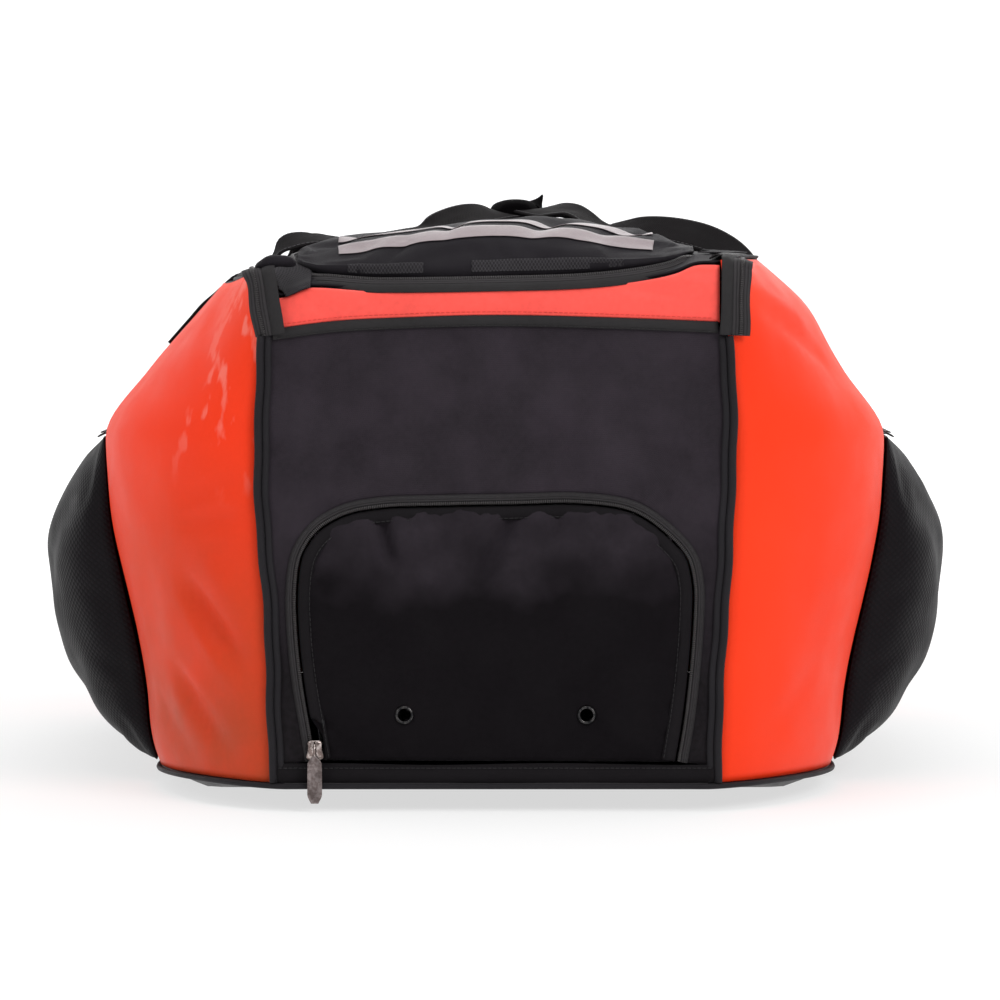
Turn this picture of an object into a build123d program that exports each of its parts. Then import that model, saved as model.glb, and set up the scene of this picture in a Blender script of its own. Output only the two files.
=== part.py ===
from build123d import *

import os

# Hockey equipment bag, in millimetres. X runs across the bag, Y along it and Z up. The origin is
# the middle of the base, on the floor. The front end faces -Y, and the skate pocket is in it.

# ---- driving dimensions ----
half_length = 450  # middle of the bag to the outside of an end panel
wall = 3  # thickness of every sewn and lined panel
skin_depth = 2  # how far tapes and bindings stand proud of the panels
gap = 0.3  # clearance between pieces that move apart

edge_z = 18  # the seam between base and walls
middle_z = 130
wide_z = 241  # the widest level, where the side pockets start
top_z = 350  # top edge of the walls, below the lid
band_z = 327  # seam between an end panel and the band above it
floor_tuck = 45  # the base is flat this far in from its seam

# distance from the middle, half widths at the base seam, middle, widest level and top edge, and
# how far the base lifts off the floor
stations = [
    (half_length, 147, 152, 157, 152, 14),
    (405, 190, 205, 214, 168, 11),
    (340, 222, 243, 254, 182, 5),
    (250, 235, 262, 272, 190, 0),
]
board_half_width = 172
board_half_length = 240
board_radius = 20
board_thickness = 3
binding_height = 7  # dark binding under each band

pocket_half_length = 260
pocket_top_z = 243
pocket_wall = 2.5
mouth_width = 7.5  # zipped mouth along the top of each side pocket
mouth_start = 273.5  # its inner edge, from the middle of the bag
mouth_half_length = 225
mouth_cut = 226  # the mouth is cut down through the shell from here up

# outline of a side pocket from its mouth down: distance out, further out at full bulge, height,
# then how much of the wall its hollow moves in across and down
pocket_profile = [
    (225, 0, 243, 0, 1),
    (272, 14, 243, 0.5, 1),
    (272, 30, 229, 1, 0.5),
    (270, 48, 190, 1, 0),
    (266, 56, 150, 1, 0),
    (258, 52, 85, 1, -0.3),
    (246, 34, 38, 1, -1),
    (238, 4, 22, 1, -1),
    (215, 0, 22, 0, -1),
]
# distance along the bag, and share of the full bulge there
pocket_stations = [(-260, 0.1), (-215, 0.8), (-150, 1), (150, 1), (215, 0.8), (260, 0.1)]

arch_half_width = 112  # moving flap of the skate pocket
arch_bottom = 33
arch_top = 197
arch_radius = 45
arch_tape = 12  # width of the zip tape around the arch
flap_tape = 8  # width of the zip tape on the flap itself
flap_lift = 0.8  # gap under the flap, along its hinge
hem_reach = 10  # the hem passes the arch by this much on both sides
hem_z = 23  # lower edge of the hem, and of the liner
skate_depth = 118
liner_wall = 2

eyelet_x = 60.5
eyelet_z = 64.7
eyelet_bore = 4.3
eyelet_barrel = 4.8
eyelet_flange = 6.2
eyelet_flange_depth = 0.9

zip_end_bottom = 316
zip_end_front_x = 142
zip_end_back = 425  # the zip ends reach back to this distance from the middle
tape_bottom = 339  # lower edge of the tape along the top of the walls

piping_radius = 2.4

lid_gap = 1  # zip coil between the walls and the lid
lid_rise = {450: 2, 405: 7, 340: 12, 250: 15}  # crown of the lid at each station
lid_inner_x = 0.37  # the lid's crown starts here, as a share of its half width
lid_outer_x = 0.63
lid_outer_rise = 0.6
hinge_z = top_z + 0.6
lid_front = half_length - 2

top_flap_half_width = 132
top_flap_front = -430
top_flap_back = -60
top_flap_stations = [(-430, 0.5), (-385, 10), (-310, 16), (-170, 16), (-105, 9), (-60, 0.5)]
top_flap_ridge = [(132, 0), (104, 0.6), (74, 1)]  # distance out, and share of the dome's height
top_flap_gap = 1.6
top_flap_wall = 2.2
zip_arm = 10  # width of the tape around the top pocket

strap_width = 28
strap_thickness = 3
handle_spread = 150  # each handle is sewn on this far either side of the middle
grip_x = 14  # the handles meet a little to the right of the middle
bridge_half = 55
bridge_z = {"left": 396.5, "right": 402.5}
strap_foot = (201, 341)  # distance out and height of a strap's end, on its patch
strap_turn = (198, 358)  # where it turns in over the top edge
strap_rest = (110, 110, 391)  # where it comes up off the lid
anchor_margin = 3
anchor_bottom = 303
anchor_top = 338

wrap_half_length = 39
wrap_half_width = 18
wrap_bottom = 391.5
wrap_top = 408
wrap_wall = 2.5
wrap_radius = 5
tip_rise = 3  # the free corner of the wrap stands up this far
tip_width = 10
tip_half_length = 33

body_width = 9  # zip slider
body_length = 12
body_height = 4.5
ear_thickness = 1.2
ear_spread = 2.9
pin_height = 7.4
pin_radius = 0.8
ring_radius = 2.3
ring_bore = 1.15
ring_width = 3
ear_length = 4
ear_rise = 0.6  # the ears pass their pin by this much
body_radius = 2
tab_start = 8
tab_length = 27
tab_width = 9
tab_thickness = 1.6
tab_neck = (3.3, 4)  # half width of the neck, and how far it runs
tab_end = (2.7, 6)  # half width of the tip, and how far it tapers

sides = {"left": -1, "right": 1}

os.makedirs("parts", exist_ok=True)


def save(piece, name):
    """Label a finished piece and write it as the node of that name."""
    piece.part.label = name
    export_step(piece.part, f"parts/{name}.step")


def mirrored(rows):
    """Stations from the front end to the rear end of a bag with two equal ends."""
    front = [(-row[0],) + row[1:] for row in rows]
    return front + rows[::-1]


def add_box(low, high, mode=Mode.ADD):
    """A box between two corner points, in the part that is being built."""
    size = [b - a for a, b in zip(low, high)]
    middle = tuple((a + b) / 2 for a, b in zip(low, high))
    with Locations(middle):
        Box(*size, mode=mode)


def wall_outline(row, grow, top):
    """Half outline of the bag's walls and base at one station, from the top edge down."""
    base, middle, wide, rim, lift = row[1:]
    return [
        (rim + grow, top),
        (wide + grow, wide_z),
        (middle + grow, middle_z),
        (base + grow, edge_z - grow * 0.5),
        (base - floor_tuck, lift - grow),
    ]


def section(y, points):
    """A closed cross-section at one station."""
    with BuildSketch(Plane.XZ.offset(-y)) as outline:
        with BuildLine():
            Polyline(*points, close=True)
        make_face()
    return outline.sketch


def both_halves(half):
    """A whole outline from its right half."""
    return half + [(-x, z) for x, z in reversed(half)]


def wall_loft(grow, top):
    """The bag's outer form, grown outwards or inwards."""
    sections = []
    for row in mirrored(stations):
        y = row[0]
        if abs(y) == half_length:
            y += grow if y > 0 else -grow
        sections.append(section(y, both_halves(wall_outline(row, grow, top))))
    with BuildPart() as form:
        loft(sections, ruled=True)
    return form.part


outer_form = wall_loft(0, top_z)
inner_form = wall_loft(-wall, top_z + wall)
skin_form = wall_loft(skin_depth, top_z)

with BuildPart() as walls:
    add(outer_form)
    add(inner_form, mode=Mode.SUBTRACT)

with BuildPart() as skin:
    add(skin_form)
    add(outer_form, mode=Mode.SUBTRACT)

# ---- base ----
far = 1000  # beyond any part of the bag
base_top = edge_z + 1

with BuildPart() as base_panel:
    add(walls.part)
    add_box((-far, -far, -far), (far, far, base_top), Mode.INTERSECT)
save(base_panel, "base_panel")

with BuildPart() as base_board:
    with BuildSketch(Plane.XY.offset(wall + gap)):
        RectangleRounded(2 * board_half_width, 2 * board_half_length, board_radius)
    extrude(amount=board_thickness)
save(base_board, "base_board")


def add_rod(start, end, radius):
    """A round rod from one point to another."""
    run = Vector(*end) - Vector(*start)
    with Locations(Plane(origin=start, z_dir=run)):
        Cylinder(radius, run.length, align=(Align.CENTER, Align.CENTER, Align.MIN))


def add_piping(points, radius):
    """Piping through a list of points, rounded at each one."""
    for start, end in zip(points, points[1:]):
        add_rod(start, end, radius)
    for point in points:
        with Locations(point):
            Sphere(radius)


base_z = edge_z - 2
base_out = piping_radius + gap
base_ring = []
for row in mirrored(stations):
    outer_y = row[0] + base_out if row[0] > 0 else row[0] - base_out
    base_ring.append((row[1] + base_out, outer_y, base_z))
base_ring += [(-x, y, z) for x, y, z in reversed(base_ring)]
base_ring.append(base_ring[0])
with BuildPart() as base_piping:
    add_piping(base_ring, piping_radius)
save(base_piping, "base_piping")

# ---- end panels and the bands above them ----
front_face = Plane.XZ.offset(half_length)


def add_arch(grow):
    """The skate pocket's arched outline, grown outwards; its foot stays on the hem."""
    half = arch_half_width + grow
    height = arch_top + grow - arch_bottom
    with Locations((0, arch_bottom + height / 2)):
        frame = Rectangle(2 * half, height)
    fillet(frame.vertices().group_by(Axis.Y)[-1], arch_radius + grow)


with BuildPart() as arch_cut:
    with BuildSketch(Plane.XZ.offset(half_length + wall)):
        add_arch(arch_tape)
    extrude(amount=-3 * wall)

with BuildPart() as front_end_panel:
    add(walls.part)
    add_box((-far, -far, base_top), (far, wall - half_length, band_z), Mode.INTERSECT)
    add(arch_cut.part, mode=Mode.SUBTRACT)
save(front_end_panel, "front_end_panel")

with BuildPart() as rear_end_panel:
    add(walls.part)
    add_box((-far, half_length - wall, base_top), (far, far, band_z), Mode.INTERSECT)
save(rear_end_panel, "rear_end_panel")

with BuildPart() as front_band:
    add(walls.part)
    add_box((-far, -far, band_z), (far, wall - half_length, far), Mode.INTERSECT)
save(front_band, "front_band")

with BuildPart() as rear_band:
    add(walls.part)
    add_box((-far, half_length - wall, band_z), (far, far, far), Mode.INTERSECT)
save(rear_band, "rear_band")

for end, low_y, high_y in [("front", -far, -half_length), ("rear", half_length, far)]:
    with BuildPart() as band_binding:
        add(skin.part)
        reach = zip_end_front_x - gap
        add_box((-reach, low_y, band_z - binding_height), (reach, high_y, band_z), Mode.INTERSECT)
    save(band_binding, f"{end}_band_binding")

# ---- long sides: orange panels, and the black backing behind each side pocket ----
for side, sign in sides.items():
    low_x, high_x = sorted((0, sign * far))
    with BuildPart() as side_panel:
        add(walls.part)
        add_box((low_x, wall - half_length, base_top), (high_x, half_length - wall, far), Mode.INTERSECT)
        add_box((-far, -mouth_half_length, 0), (far, mouth_half_length, wide_z), Mode.SUBTRACT)
    save(side_panel, f"{side}_side_panel")

    with BuildPart() as pocket_backing:
        add(walls.part)
        add_box((low_x, -mouth_half_length, base_top), (high_x, mouth_half_length, wide_z), Mode.INTERSECT)
    save(pocket_backing, f"{side}_pocket_backing")

# ---- piping down the four corners ----
corner_top = zip_end_bottom - 3
for end, end_sign in [("front", -1), ("rear", 1)]:
    for side, sign in sides.items():
        offset = piping_radius * 0.75
        row = stations[0]
        share = (corner_top - wide_z) / (top_z - wide_z)
        heights = [(base_z + 6, row[1]), (middle_z, row[2]), (wide_z, row[3])]
        heights.append((corner_top, row[3] + share * (row[4] - row[3])))
        route = [(sign * (x + offset), end_sign * (half_length + offset), z) for z, x in heights]
        with BuildPart() as corner_piping:
            add_piping(route, piping_radius)
        save(corner_piping, f"{end}_{side}_piping")

# ---- side pockets: soft shells that bulge from the sides ----


def pocket_outline(bulge, inset):
    """Outline of a side pocket on the right, from its mouth down to its lower seam."""
    line = []
    for out, further, z, across, down in pocket_profile:
        line.append((out + further * bulge - inset * across, z - inset * down))
    return line


def pocket_loft(sign, inset):
    """One side pocket's form, from its front seam to its rear seam."""
    sections = []
    for y, bulge in pocket_stations:
        if abs(y) == pocket_half_length:
            y += inset if y < 0 else -inset
        sections.append(section(y, [(sign * x, z) for x, z in pocket_outline(bulge, inset)]))
    with BuildPart() as form:
        loft(sections, ruled=True)
    return form.part


for side, sign in sides.items():
    mouth = sorted((sign * mouth_start, sign * (mouth_start + mouth_width)))
    with BuildPart() as pocket_shell:
        add(pocket_loft(sign, 0))
        add(pocket_loft(sign, pocket_wall), mode=Mode.SUBTRACT)
        add(outer_form, mode=Mode.SUBTRACT)
        add_box((mouth[0], -mouth_half_length, mouth_cut), (mouth[1], mouth_half_length, far), Mode.SUBTRACT)
    save(pocket_shell, f"{side}_pocket_shell")

    zip_z = pocket_top_z + 0.1
    with BuildPart() as pocket_zip:
        add_box((mouth[0], -mouth_half_length, zip_z), (mouth[1], mouth_half_length, zip_z + 1))
    save(pocket_zip, f"{side}_pocket_zip")

# ---- zip tape along the top of the walls, and its ends over the front corners ----
with BuildPart() as lid_zip_lower_tape:
    add(skin.part)
    add_box((-far, -zip_end_back, tape_bottom), (far, far, far), Mode.INTERSECT)
save(lid_zip_lower_tape, "lid_zip_lower_tape")

for side, sign in sides.items():
    low_x, high_x = sorted((sign * zip_end_front_x, sign * far))
    with BuildPart() as zip_end:
        add(skin.part)
        add_box((low_x, -far, zip_end_bottom), (high_x, -zip_end_back - gap, far), Mode.INTERSECT)
    save(zip_end, f"front_{side}_zip_end")

    low_x, high_x = sorted((0, sign * far))
    with BuildPart() as handle_anchors:
        for middle in (-handle_spread, handle_spread):
            low_y = middle - strap_width / 2 - anchor_margin
            high_y = middle + strap_width / 2 + anchor_margin
            add_box((low_x, low_y, anchor_bottom), (high_x, high_y, anchor_top))
        add(skin.part, mode=Mode.INTERSECT)
    save(handle_anchors, f"{side}_handle_anchors")

# ---- skate pocket: liner, zip tapes, hem and the flap with its eyelets ----
liner_half = arch_half_width + arch_tape + liner_wall + gap
liner_low = hem_z
liner_high = arch_top + arch_tape + liner_wall + gap
liner_front = wall - half_length
with BuildPart() as end_pocket_liner:
    add_box((-liner_half, liner_front, liner_low), (liner_half, liner_front + skate_depth, liner_high))
    add_box(
        (liner_wall - liner_half, liner_front - 1, liner_low + liner_wall),
        (liner_half - liner_wall, liner_front + skate_depth - liner_wall, liner_high - liner_wall),
        Mode.SUBTRACT,
    )
save(end_pocket_liner, "end_pocket_liner")

with BuildPart() as end_pocket_zip_tape:
    with BuildSketch(front_face):
        add_arch(arch_tape)
    extrude(amount=-wall)
    with BuildSketch(Plane.XZ.offset(half_length + 1)):
        add_arch(gap + 0.1)
    extrude(amount=-wall - 2, mode=Mode.SUBTRACT)
save(end_pocket_zip_tape, "end_pocket_zip_tape")

with BuildPart() as end_pocket_flap:
    with BuildSketch(front_face):
        add_arch(-flap_tape)
    extrude(amount=-wall)
    add_box((-far, -far, -far), (far, far, arch_bottom + flap_lift), Mode.SUBTRACT)
    with BuildSketch(front_face):
        with Locations((-eyelet_x, eyelet_z), (eyelet_x, eyelet_z)):
            Circle(eyelet_barrel)
    extrude(amount=-wall, mode=Mode.SUBTRACT)
save(end_pocket_flap, "end_pocket_flap")

with BuildPart() as end_pocket_flap_tape:
    with BuildSketch(front_face):
        add_arch(0)
    extrude(amount=-wall)
    with BuildSketch(Plane.XZ.offset(half_length + 1)):
        add_arch(-flap_tape)
    extrude(amount=-wall - 2, mode=Mode.SUBTRACT)
    add_box((-far, -far, -far), (far, far, arch_bottom + flap_lift), Mode.SUBTRACT)
save(end_pocket_flap_tape, "end_pocket_flap_tape")

with BuildPart() as flap_eyelets:
    with BuildSketch(front_face):
        with Locations((-eyelet_x, eyelet_z), (eyelet_x, eyelet_z)):
            Circle(eyelet_barrel)
            Circle(eyelet_bore, mode=Mode.SUBTRACT)
    extrude(amount=-wall)
    with BuildSketch(front_face):
        with Locations((-eyelet_x, eyelet_z), (eyelet_x, eyelet_z)):
            Circle(eyelet_flange)
            Circle(eyelet_bore, mode=Mode.SUBTRACT)
    extrude(amount=eyelet_flange_depth)
save(flap_eyelets, "flap_eyelets")

hem_half = arch_half_width + arch_tape + hem_reach
with BuildPart() as end_pocket_hem:
    add(skin.part)
    add_box((-hem_half, -far, hem_z), (hem_half, -half_length, arch_bottom - 1), Mode.INTERSECT)
save(end_pocket_hem, "end_pocket_hem")

# ---- lid ----
lid_bottom = top_z + lid_gap
lid_rows = mirrored([(row[0], row[4], lid_rise[row[0]]) for row in stations])


def lid_outline(half_width, rise, lower):
    """Half outline of the lid's upper or lower surface, from its edge to its crown."""
    edge = lid_bottom + wall - lower
    return [
        (half_width, edge),
        (lid_outer_x * half_width, edge + lid_outer_rise * rise),
        (lid_inner_x * half_width, edge + rise),
    ]


def lid_loft(grow, lower, inset, foot):
    """The lid's form between its ends, with its underside at the given foot height."""
    sections = []
    for y, half_width, rise in lid_rows:
        upper = [(x, z + grow) for x, z in lid_outline(half_width - inset, rise, lower)]
        outline = both_halves([(half_width - inset, foot)] + upper)
        sections.append(section(max(y, -lid_front), outline))
    with BuildPart() as form:
        loft(sections, ruled=True)
    return form.part


lid_outer = lid_loft(0, 0, 0, lid_bottom)
lid_inner = lid_loft(0, wall, 7, lid_bottom - 2)
lid_skin = lid_loft(1.2, 0, 0, lid_bottom)
mesh_front = top_flap_front - zip_arm
mesh_start = top_flap_half_width + zip_arm

with BuildPart() as lid_whole:
    add(lid_outer)
    add(lid_inner, mode=Mode.SUBTRACT)

with BuildPart() as lid_panel:
    add(lid_whole.part)
    for sign in sides.values():
        low_x, high_x = sorted((sign * mesh_start, sign * far))
        add_box((low_x, mesh_front, 0), (high_x, top_flap_back, far), Mode.SUBTRACT)
save(lid_panel, "lid_panel")

for side, sign in sides.items():
    low_x, high_x = sorted((sign * mesh_start, sign * far))
    with BuildPart() as lid_mesh:
        add(lid_whole.part)
        add_box((low_x, mesh_front, 0), (high_x, top_flap_back, far), Mode.INTERSECT)
    save(lid_mesh, f"lid_mesh_{side}")

tape_out = 1.8
plan = [(row[4], max(row[0], -lid_front)) for row in mirrored(stations)]


def add_plan(grow):
    """The lid's outline seen from above, grown outwards at its sides and rear."""
    right = [(x + grow, y + grow * (y == half_length)) for x, y in plan]
    Polygon(*right, *[(-x, y) for x, y in reversed(right)], align=None)


with BuildPart() as lid_zip_upper_tape:
    with BuildSketch(Plane.XY.offset(lid_bottom)):
        add_plan(tape_out)
    extrude(amount=wall)
    with BuildSketch(Plane.XY.offset(lid_bottom - 1)):
        add_plan(0)
    extrude(amount=wall + 2, mode=Mode.SUBTRACT)
save(lid_zip_upper_tape, "lid_zip_upper_tape")

with BuildPart() as top_pocket_zip_tape:
    add(lid_skin)
    add(lid_outer, mode=Mode.SUBTRACT)
    outside = top_flap_half_width + zip_arm
    inside = top_flap_half_width + gap
    add_box((-outside, mesh_front, 0), (outside, top_flap_back, far), Mode.INTERSECT)
    add_box((-inside, top_flap_front - gap, 0), (inside, far, far), Mode.SUBTRACT)
save(top_pocket_zip_tape, "top_pocket_zip_tape")

# ---- top pocket flap: a shallow dome over the front half of the lid ----


def lid_height(y, x):
    """Height of the lid's upper surface at a place on it."""
    for (y0, w0, r0), (y1, w1, r1) in zip(lid_rows, lid_rows[1:]):
        if y0 <= y <= y1:
            share = (y - y0) / (y1 - y0)
            half_width = w0 + share * (w1 - w0)
            rise = r0 + share * (r1 - r0)
    inner = lid_inner_x * half_width
    outer = lid_outer_x * half_width
    edge = lid_bottom + wall
    if x <= inner:
        return edge + rise
    if x <= outer:
        return edge + rise - (x - inner) / (outer - inner) * (1 - lid_outer_rise) * rise
    return edge + lid_outer_rise * rise * (half_width - x) / (half_width - outer)


def flap_outline(y, lift, lower):
    """Half outline of the top pocket's flap at one station."""
    line = []
    for x, share in top_flap_ridge:
        roof = lid_height(y, x) + top_flap_gap + top_flap_wall
        line.append((x - lower, roof + share * lift - lower))
    return line


def flap_loft(lower, foot):
    """The flap's outer form, or its hollow when lowered by its wall."""
    sections = []
    for y, lift in top_flap_stations:
        low = lid_height(y, top_flap_half_width) + foot
        half = [(top_flap_half_width - lower, low)] + flap_outline(y, lift, lower)
        sections.append(section(y, both_halves(half)))
    with BuildPart() as form:
        loft(sections, ruled=True)
    return form.part


with BuildPart() as top_pocket_flap:
    add(flap_loft(0, top_flap_gap))
    add(flap_loft(top_flap_wall, -20), mode=Mode.SUBTRACT)
save(top_pocket_flap, "top_pocket_flap")

# ---- carry handles and the wrap that joins them ----


def add_bar(start, end):
    """A flat stretch of webbing from one point to another."""
    run = Vector(*end) - Vector(*start)
    across = run.cross(Vector(0, 0, 1))
    with Locations(Plane(origin=start, x_dir=across, z_dir=run)):
        Box(strap_width, strap_thickness, run.length, align=(Align.CENTER, Align.CENTER, Align.MIN))


for side, sign in sides.items():
    crown = bridge_z[side]
    with BuildPart() as handle:
        for end in (-1, 1):
            route = [
                (sign * strap_foot[0], end * handle_spread, strap_foot[1]),
                (sign * strap_turn[0], end * handle_spread, strap_turn[1]),
                (sign * strap_rest[0], end * strap_rest[1], strap_rest[2]),
                (grip_x, end * bridge_half, crown),
            ]
            for start, stop in zip(route, route[1:]):
                add_bar(start, stop)
        with Locations((grip_x, 0, crown)):
            Box(strap_width, 2 * bridge_half + strap_width, strap_thickness)
    save(handle, f"{side}_handle")

wrap_left = grip_x - wrap_half_width
wrap_right = grip_x + wrap_half_width
tip_right = wrap_right - wrap_radius
with BuildPart() as handle_wrap:
    add_box((wrap_left, -wrap_half_length, wrap_bottom), (wrap_right, wrap_half_length, wrap_top))
    fillet(handle_wrap.edges().filter_by(Axis.Y), wrap_radius)
    add_box(
        (wrap_left + wrap_wall, -wrap_half_length, wrap_bottom + wrap_wall),
        (wrap_right - wrap_wall, wrap_half_length, wrap_top - wrap_wall),
        Mode.SUBTRACT,
    )
    add_box(
        (tip_right - tip_width, -tip_half_length, wrap_top),
        (tip_right, tip_half_length, wrap_top + tip_rise),
    )
save(handle_wrap, "handle_wrap")

# ---- zip sliders and their pullers ----
# name, place of the slider's foot, direction of its pin, direction away from the tape
proud = skin_depth + gap
rear_y = half_length + proud
sliders = [
    ("end_pocket", (-120, -rear_y, 41), (1, 0, 0), (0, -1, 0)),
    ("lid_left", (-8, rear_y, top_z - 1), (0, 0, 1), (0, 1, 0)),
    ("lid_right", (8, rear_y, top_z - 1), (0, 0, -1), (0, 1, 0)),
    ("top_pocket", (-137.5, -90, 363.8), (-1, 0, 0), (0, 0, 1)),
    ("left_pocket", (-277.3, 190, pocket_top_z + 1.4), (-1, 0, 0), (0, 0, 1)),
    ("right_pocket", (277.3, 190, pocket_top_z + 1.4), (-1, 0, 0), (0, 0, 1)),
]

for name, foot, pin_way, out_way in sliders:
    plane = Plane(origin=foot, x_dir=pin_way, z_dir=out_way)
    with BuildPart() as slider:
        with BuildSketch(plane):
            RectangleRounded(body_width, body_length, body_radius)
        extrude(amount=body_height)
        with BuildSketch(plane.offset(body_height)):
            with Locations((-ear_spread, 0), (ear_spread, 0)):
                Rectangle(ear_thickness, ear_length)
        extrude(amount=pin_height - body_height + pin_radius + ear_rise)
        pin_plane = Plane(
            origin=plane.from_local_coords((-ear_spread, 0, pin_height)),
            z_dir=pin_way,
        )
        with BuildSketch(pin_plane):
            Circle(pin_radius)
        extrude(amount=2 * ear_spread)
    save(slider, f"{name}_slider")

    with BuildPart() as puller:
        ring_plane = Plane(
            origin=plane.from_local_coords((-ring_width / 2, 0, pin_height)),
            x_dir=plane.y_dir,
            z_dir=pin_way,
        )
        with BuildSketch(ring_plane):
            Circle(ring_radius)
            with Locations(((-tab_start - tab_thickness) / 2, 0)):
                Rectangle(tab_start - tab_thickness, tab_thickness)
            Circle(ring_bore, mode=Mode.SUBTRACT)
        extrude(amount=ring_width)
        tab_tip = -tab_start - tab_length
        right_edge = [
            (ring_width / 2, -tab_start + gap),
            (tab_neck[0], -tab_start - tab_neck[1]),
            (tab_width / 2, tab_tip + tab_end[1]),
            (tab_end[0], tab_tip),
        ]
        with BuildSketch(plane.offset(pin_height - tab_thickness / 2)):
            with BuildLine():
                Polyline(*both_halves(right_edge), close=True)
            make_face()
        extrude(amount=tab_thickness)
    save(puller, f"{name}_puller")
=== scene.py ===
import math
import bpy
import numpy as np
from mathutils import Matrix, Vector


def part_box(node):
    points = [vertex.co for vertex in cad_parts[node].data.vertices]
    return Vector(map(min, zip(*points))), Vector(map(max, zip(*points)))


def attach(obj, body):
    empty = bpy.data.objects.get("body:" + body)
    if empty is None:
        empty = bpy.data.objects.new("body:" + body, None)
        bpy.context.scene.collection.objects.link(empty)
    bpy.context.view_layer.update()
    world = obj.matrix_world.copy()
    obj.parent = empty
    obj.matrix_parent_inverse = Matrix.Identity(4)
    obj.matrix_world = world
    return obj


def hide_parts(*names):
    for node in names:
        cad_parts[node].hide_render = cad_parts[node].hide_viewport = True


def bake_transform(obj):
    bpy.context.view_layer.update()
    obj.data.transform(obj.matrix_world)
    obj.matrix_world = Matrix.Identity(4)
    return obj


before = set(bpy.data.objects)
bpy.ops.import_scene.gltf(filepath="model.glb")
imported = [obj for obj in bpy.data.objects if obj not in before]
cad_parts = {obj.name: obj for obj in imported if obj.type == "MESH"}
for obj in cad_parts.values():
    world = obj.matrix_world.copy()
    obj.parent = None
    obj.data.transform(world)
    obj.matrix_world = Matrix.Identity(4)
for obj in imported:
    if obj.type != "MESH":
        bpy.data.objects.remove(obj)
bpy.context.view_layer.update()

scene = bpy.context.scene


def boxOf(node):
    low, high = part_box(node)
    return np.array(low), np.array(high)


print("camera, floor and lights")
studio = dict(cameraPlace=(0.003, -3.82, 0.372), cameraPitch=-2.8, lens=183, floorFront=9.0, floorHalf=28.0,
              wallStart=14.0, wallHeight=18.0, floorTone=0.34, nearGlow=0.66, farGlow=1.0, skyStrength=0.42,
              keyPower=44, fillPower=17, topPower=27, rimPower=14)

cameraData = bpy.data.cameras.new("camera")
cameraData.lens = studio["lens"]
camera = bpy.data.objects.new("camera", cameraData)
camera.location = studio["cameraPlace"]
camera.rotation_euler = (math.radians(90 + studio["cameraPitch"]), 0, 0)
scene.collection.objects.link(camera)
scene.camera = camera
scene.view_settings.view_transform = "Standard"


def softLight(name, place, aim, size, power):
    light = bpy.data.lights.new(name, "AREA")
    light.shape = "DISK"
    light.size = size
    light.energy = power
    lamp = bpy.data.objects.new(name, light)
    lamp.location = place
    direction = np.array(aim, float) - np.array(place, float)
    yaw = math.atan2(direction[1], direction[0])
    drop = math.atan2(direction[2], np.hypot(direction[0], direction[1]))
    lamp.rotation_euler = (math.pi / 2 + drop, 0, yaw - math.pi / 2)
    scene.collection.objects.link(lamp)


softLight("key", (1.8, -2.6, 1.9), (0, -0.2, 0.2), 1.6, studio["keyPower"])
softLight("fill", (-2.3, -2.2, 1.5), (0, -0.2, 0.2), 2.0, studio["fillPower"])
softLight("top", (0.0, -0.3, 2.6), (0, 0, 0.2), 2.4, studio["topPower"])
softLight("rear", (0.6, 2.6, 1.7), (0, 0.2, 0.2), 2.0, studio["rimPower"])

world = bpy.data.worlds.new("sky")
world.use_nodes = True
sky = world.node_tree.nodes["Background"]
sky.inputs["Color"].default_value = (1, 1, 1, 1)
sky.inputs["Strength"].default_value = studio["skyStrength"]
scene.world = world


# ---- shape helpers

# cubic through the knots: each inner slope is the mean of the two chords beside it,
# and nought where the line turns, so nothing overshoots
def smoothThrough(knots, values, x, level=True):
    knots, values = np.asarray(knots, float), np.asarray(values, float)
    x = np.clip(x, knots[0], knots[-1])
    low = np.clip(np.searchsorted(knots, x, side="right") - 1, 0, len(knots) - 2)
    chord = np.diff(values) / np.diff(knots)
    slope = np.concatenate([chord[:1], (chord[1:] + chord[:-1]) / 2, chord[-1:]])
    if level:
        slope[1:-1] = np.where(chord[1:] * chord[:-1] <= 0, 0, slope[1:-1])
    gap = knots[low + 1] - knots[low]
    t = (x - knots[low]) / gap
    return ((2 * t**3 - 3 * t**2 + 1) * values[low] + (t**3 - 2 * t**2 + t) * gap * slope[low]
            + (3 * t**2 - 2 * t**3) * values[low + 1] + (t**3 - t**2) * gap * slope[low + 1])


def through(pairs, x):
    pairs = np.asarray(pairs, float)
    return smoothThrough(pairs[:, 0], pairs[:, 1], x)


# 0 before start, 1 after end, and an S curve between them
def ease(x, start, end):
    t = np.clip((np.asarray(x, float) - start) / (end - start), 0, 1)
    return t * t * (3 - 2 * t)


# sum of sine waves in seeded directions: each octave is twice as fine and half as strong
def unevenness(points, wavelength, seed, octaves=3):
    draw = np.random.default_rng(seed)
    total = np.zeros(points.shape[:-1])
    for octave in range(octaves):
        for wave in range(4):
            direction = draw.normal(size=3)
            direction /= np.linalg.norm(direction)
            total += 0.5**octave * np.sin(points @ direction * 2 * np.pi * 2**octave / wavelength
                    + draw.uniform(0, 6.3))
    return total / 4


# soft folds: each is a ridge along a line from (a, b) to (c, d), with the fall of a bell curve across it
def folds(a, b, lines):
    total = np.zeros(np.broadcast(a, b).shape)
    for a0, b0, a1, b1, depth, width in lines:
        run = np.hypot(a1 - a0, b1 - b0)
        along = ((a - a0) * (a1 - a0) + (b - b0) * (b1 - b0)) / run**2
        across = ((a - a0) * (b1 - b0) - (b - b0) * (a1 - a0)) / run
        total += depth * np.exp(-(across / width)**2) * ease(along, -0.15, 0.3) * (1 - ease(along, 0.6, 1.15))
    return total


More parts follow.
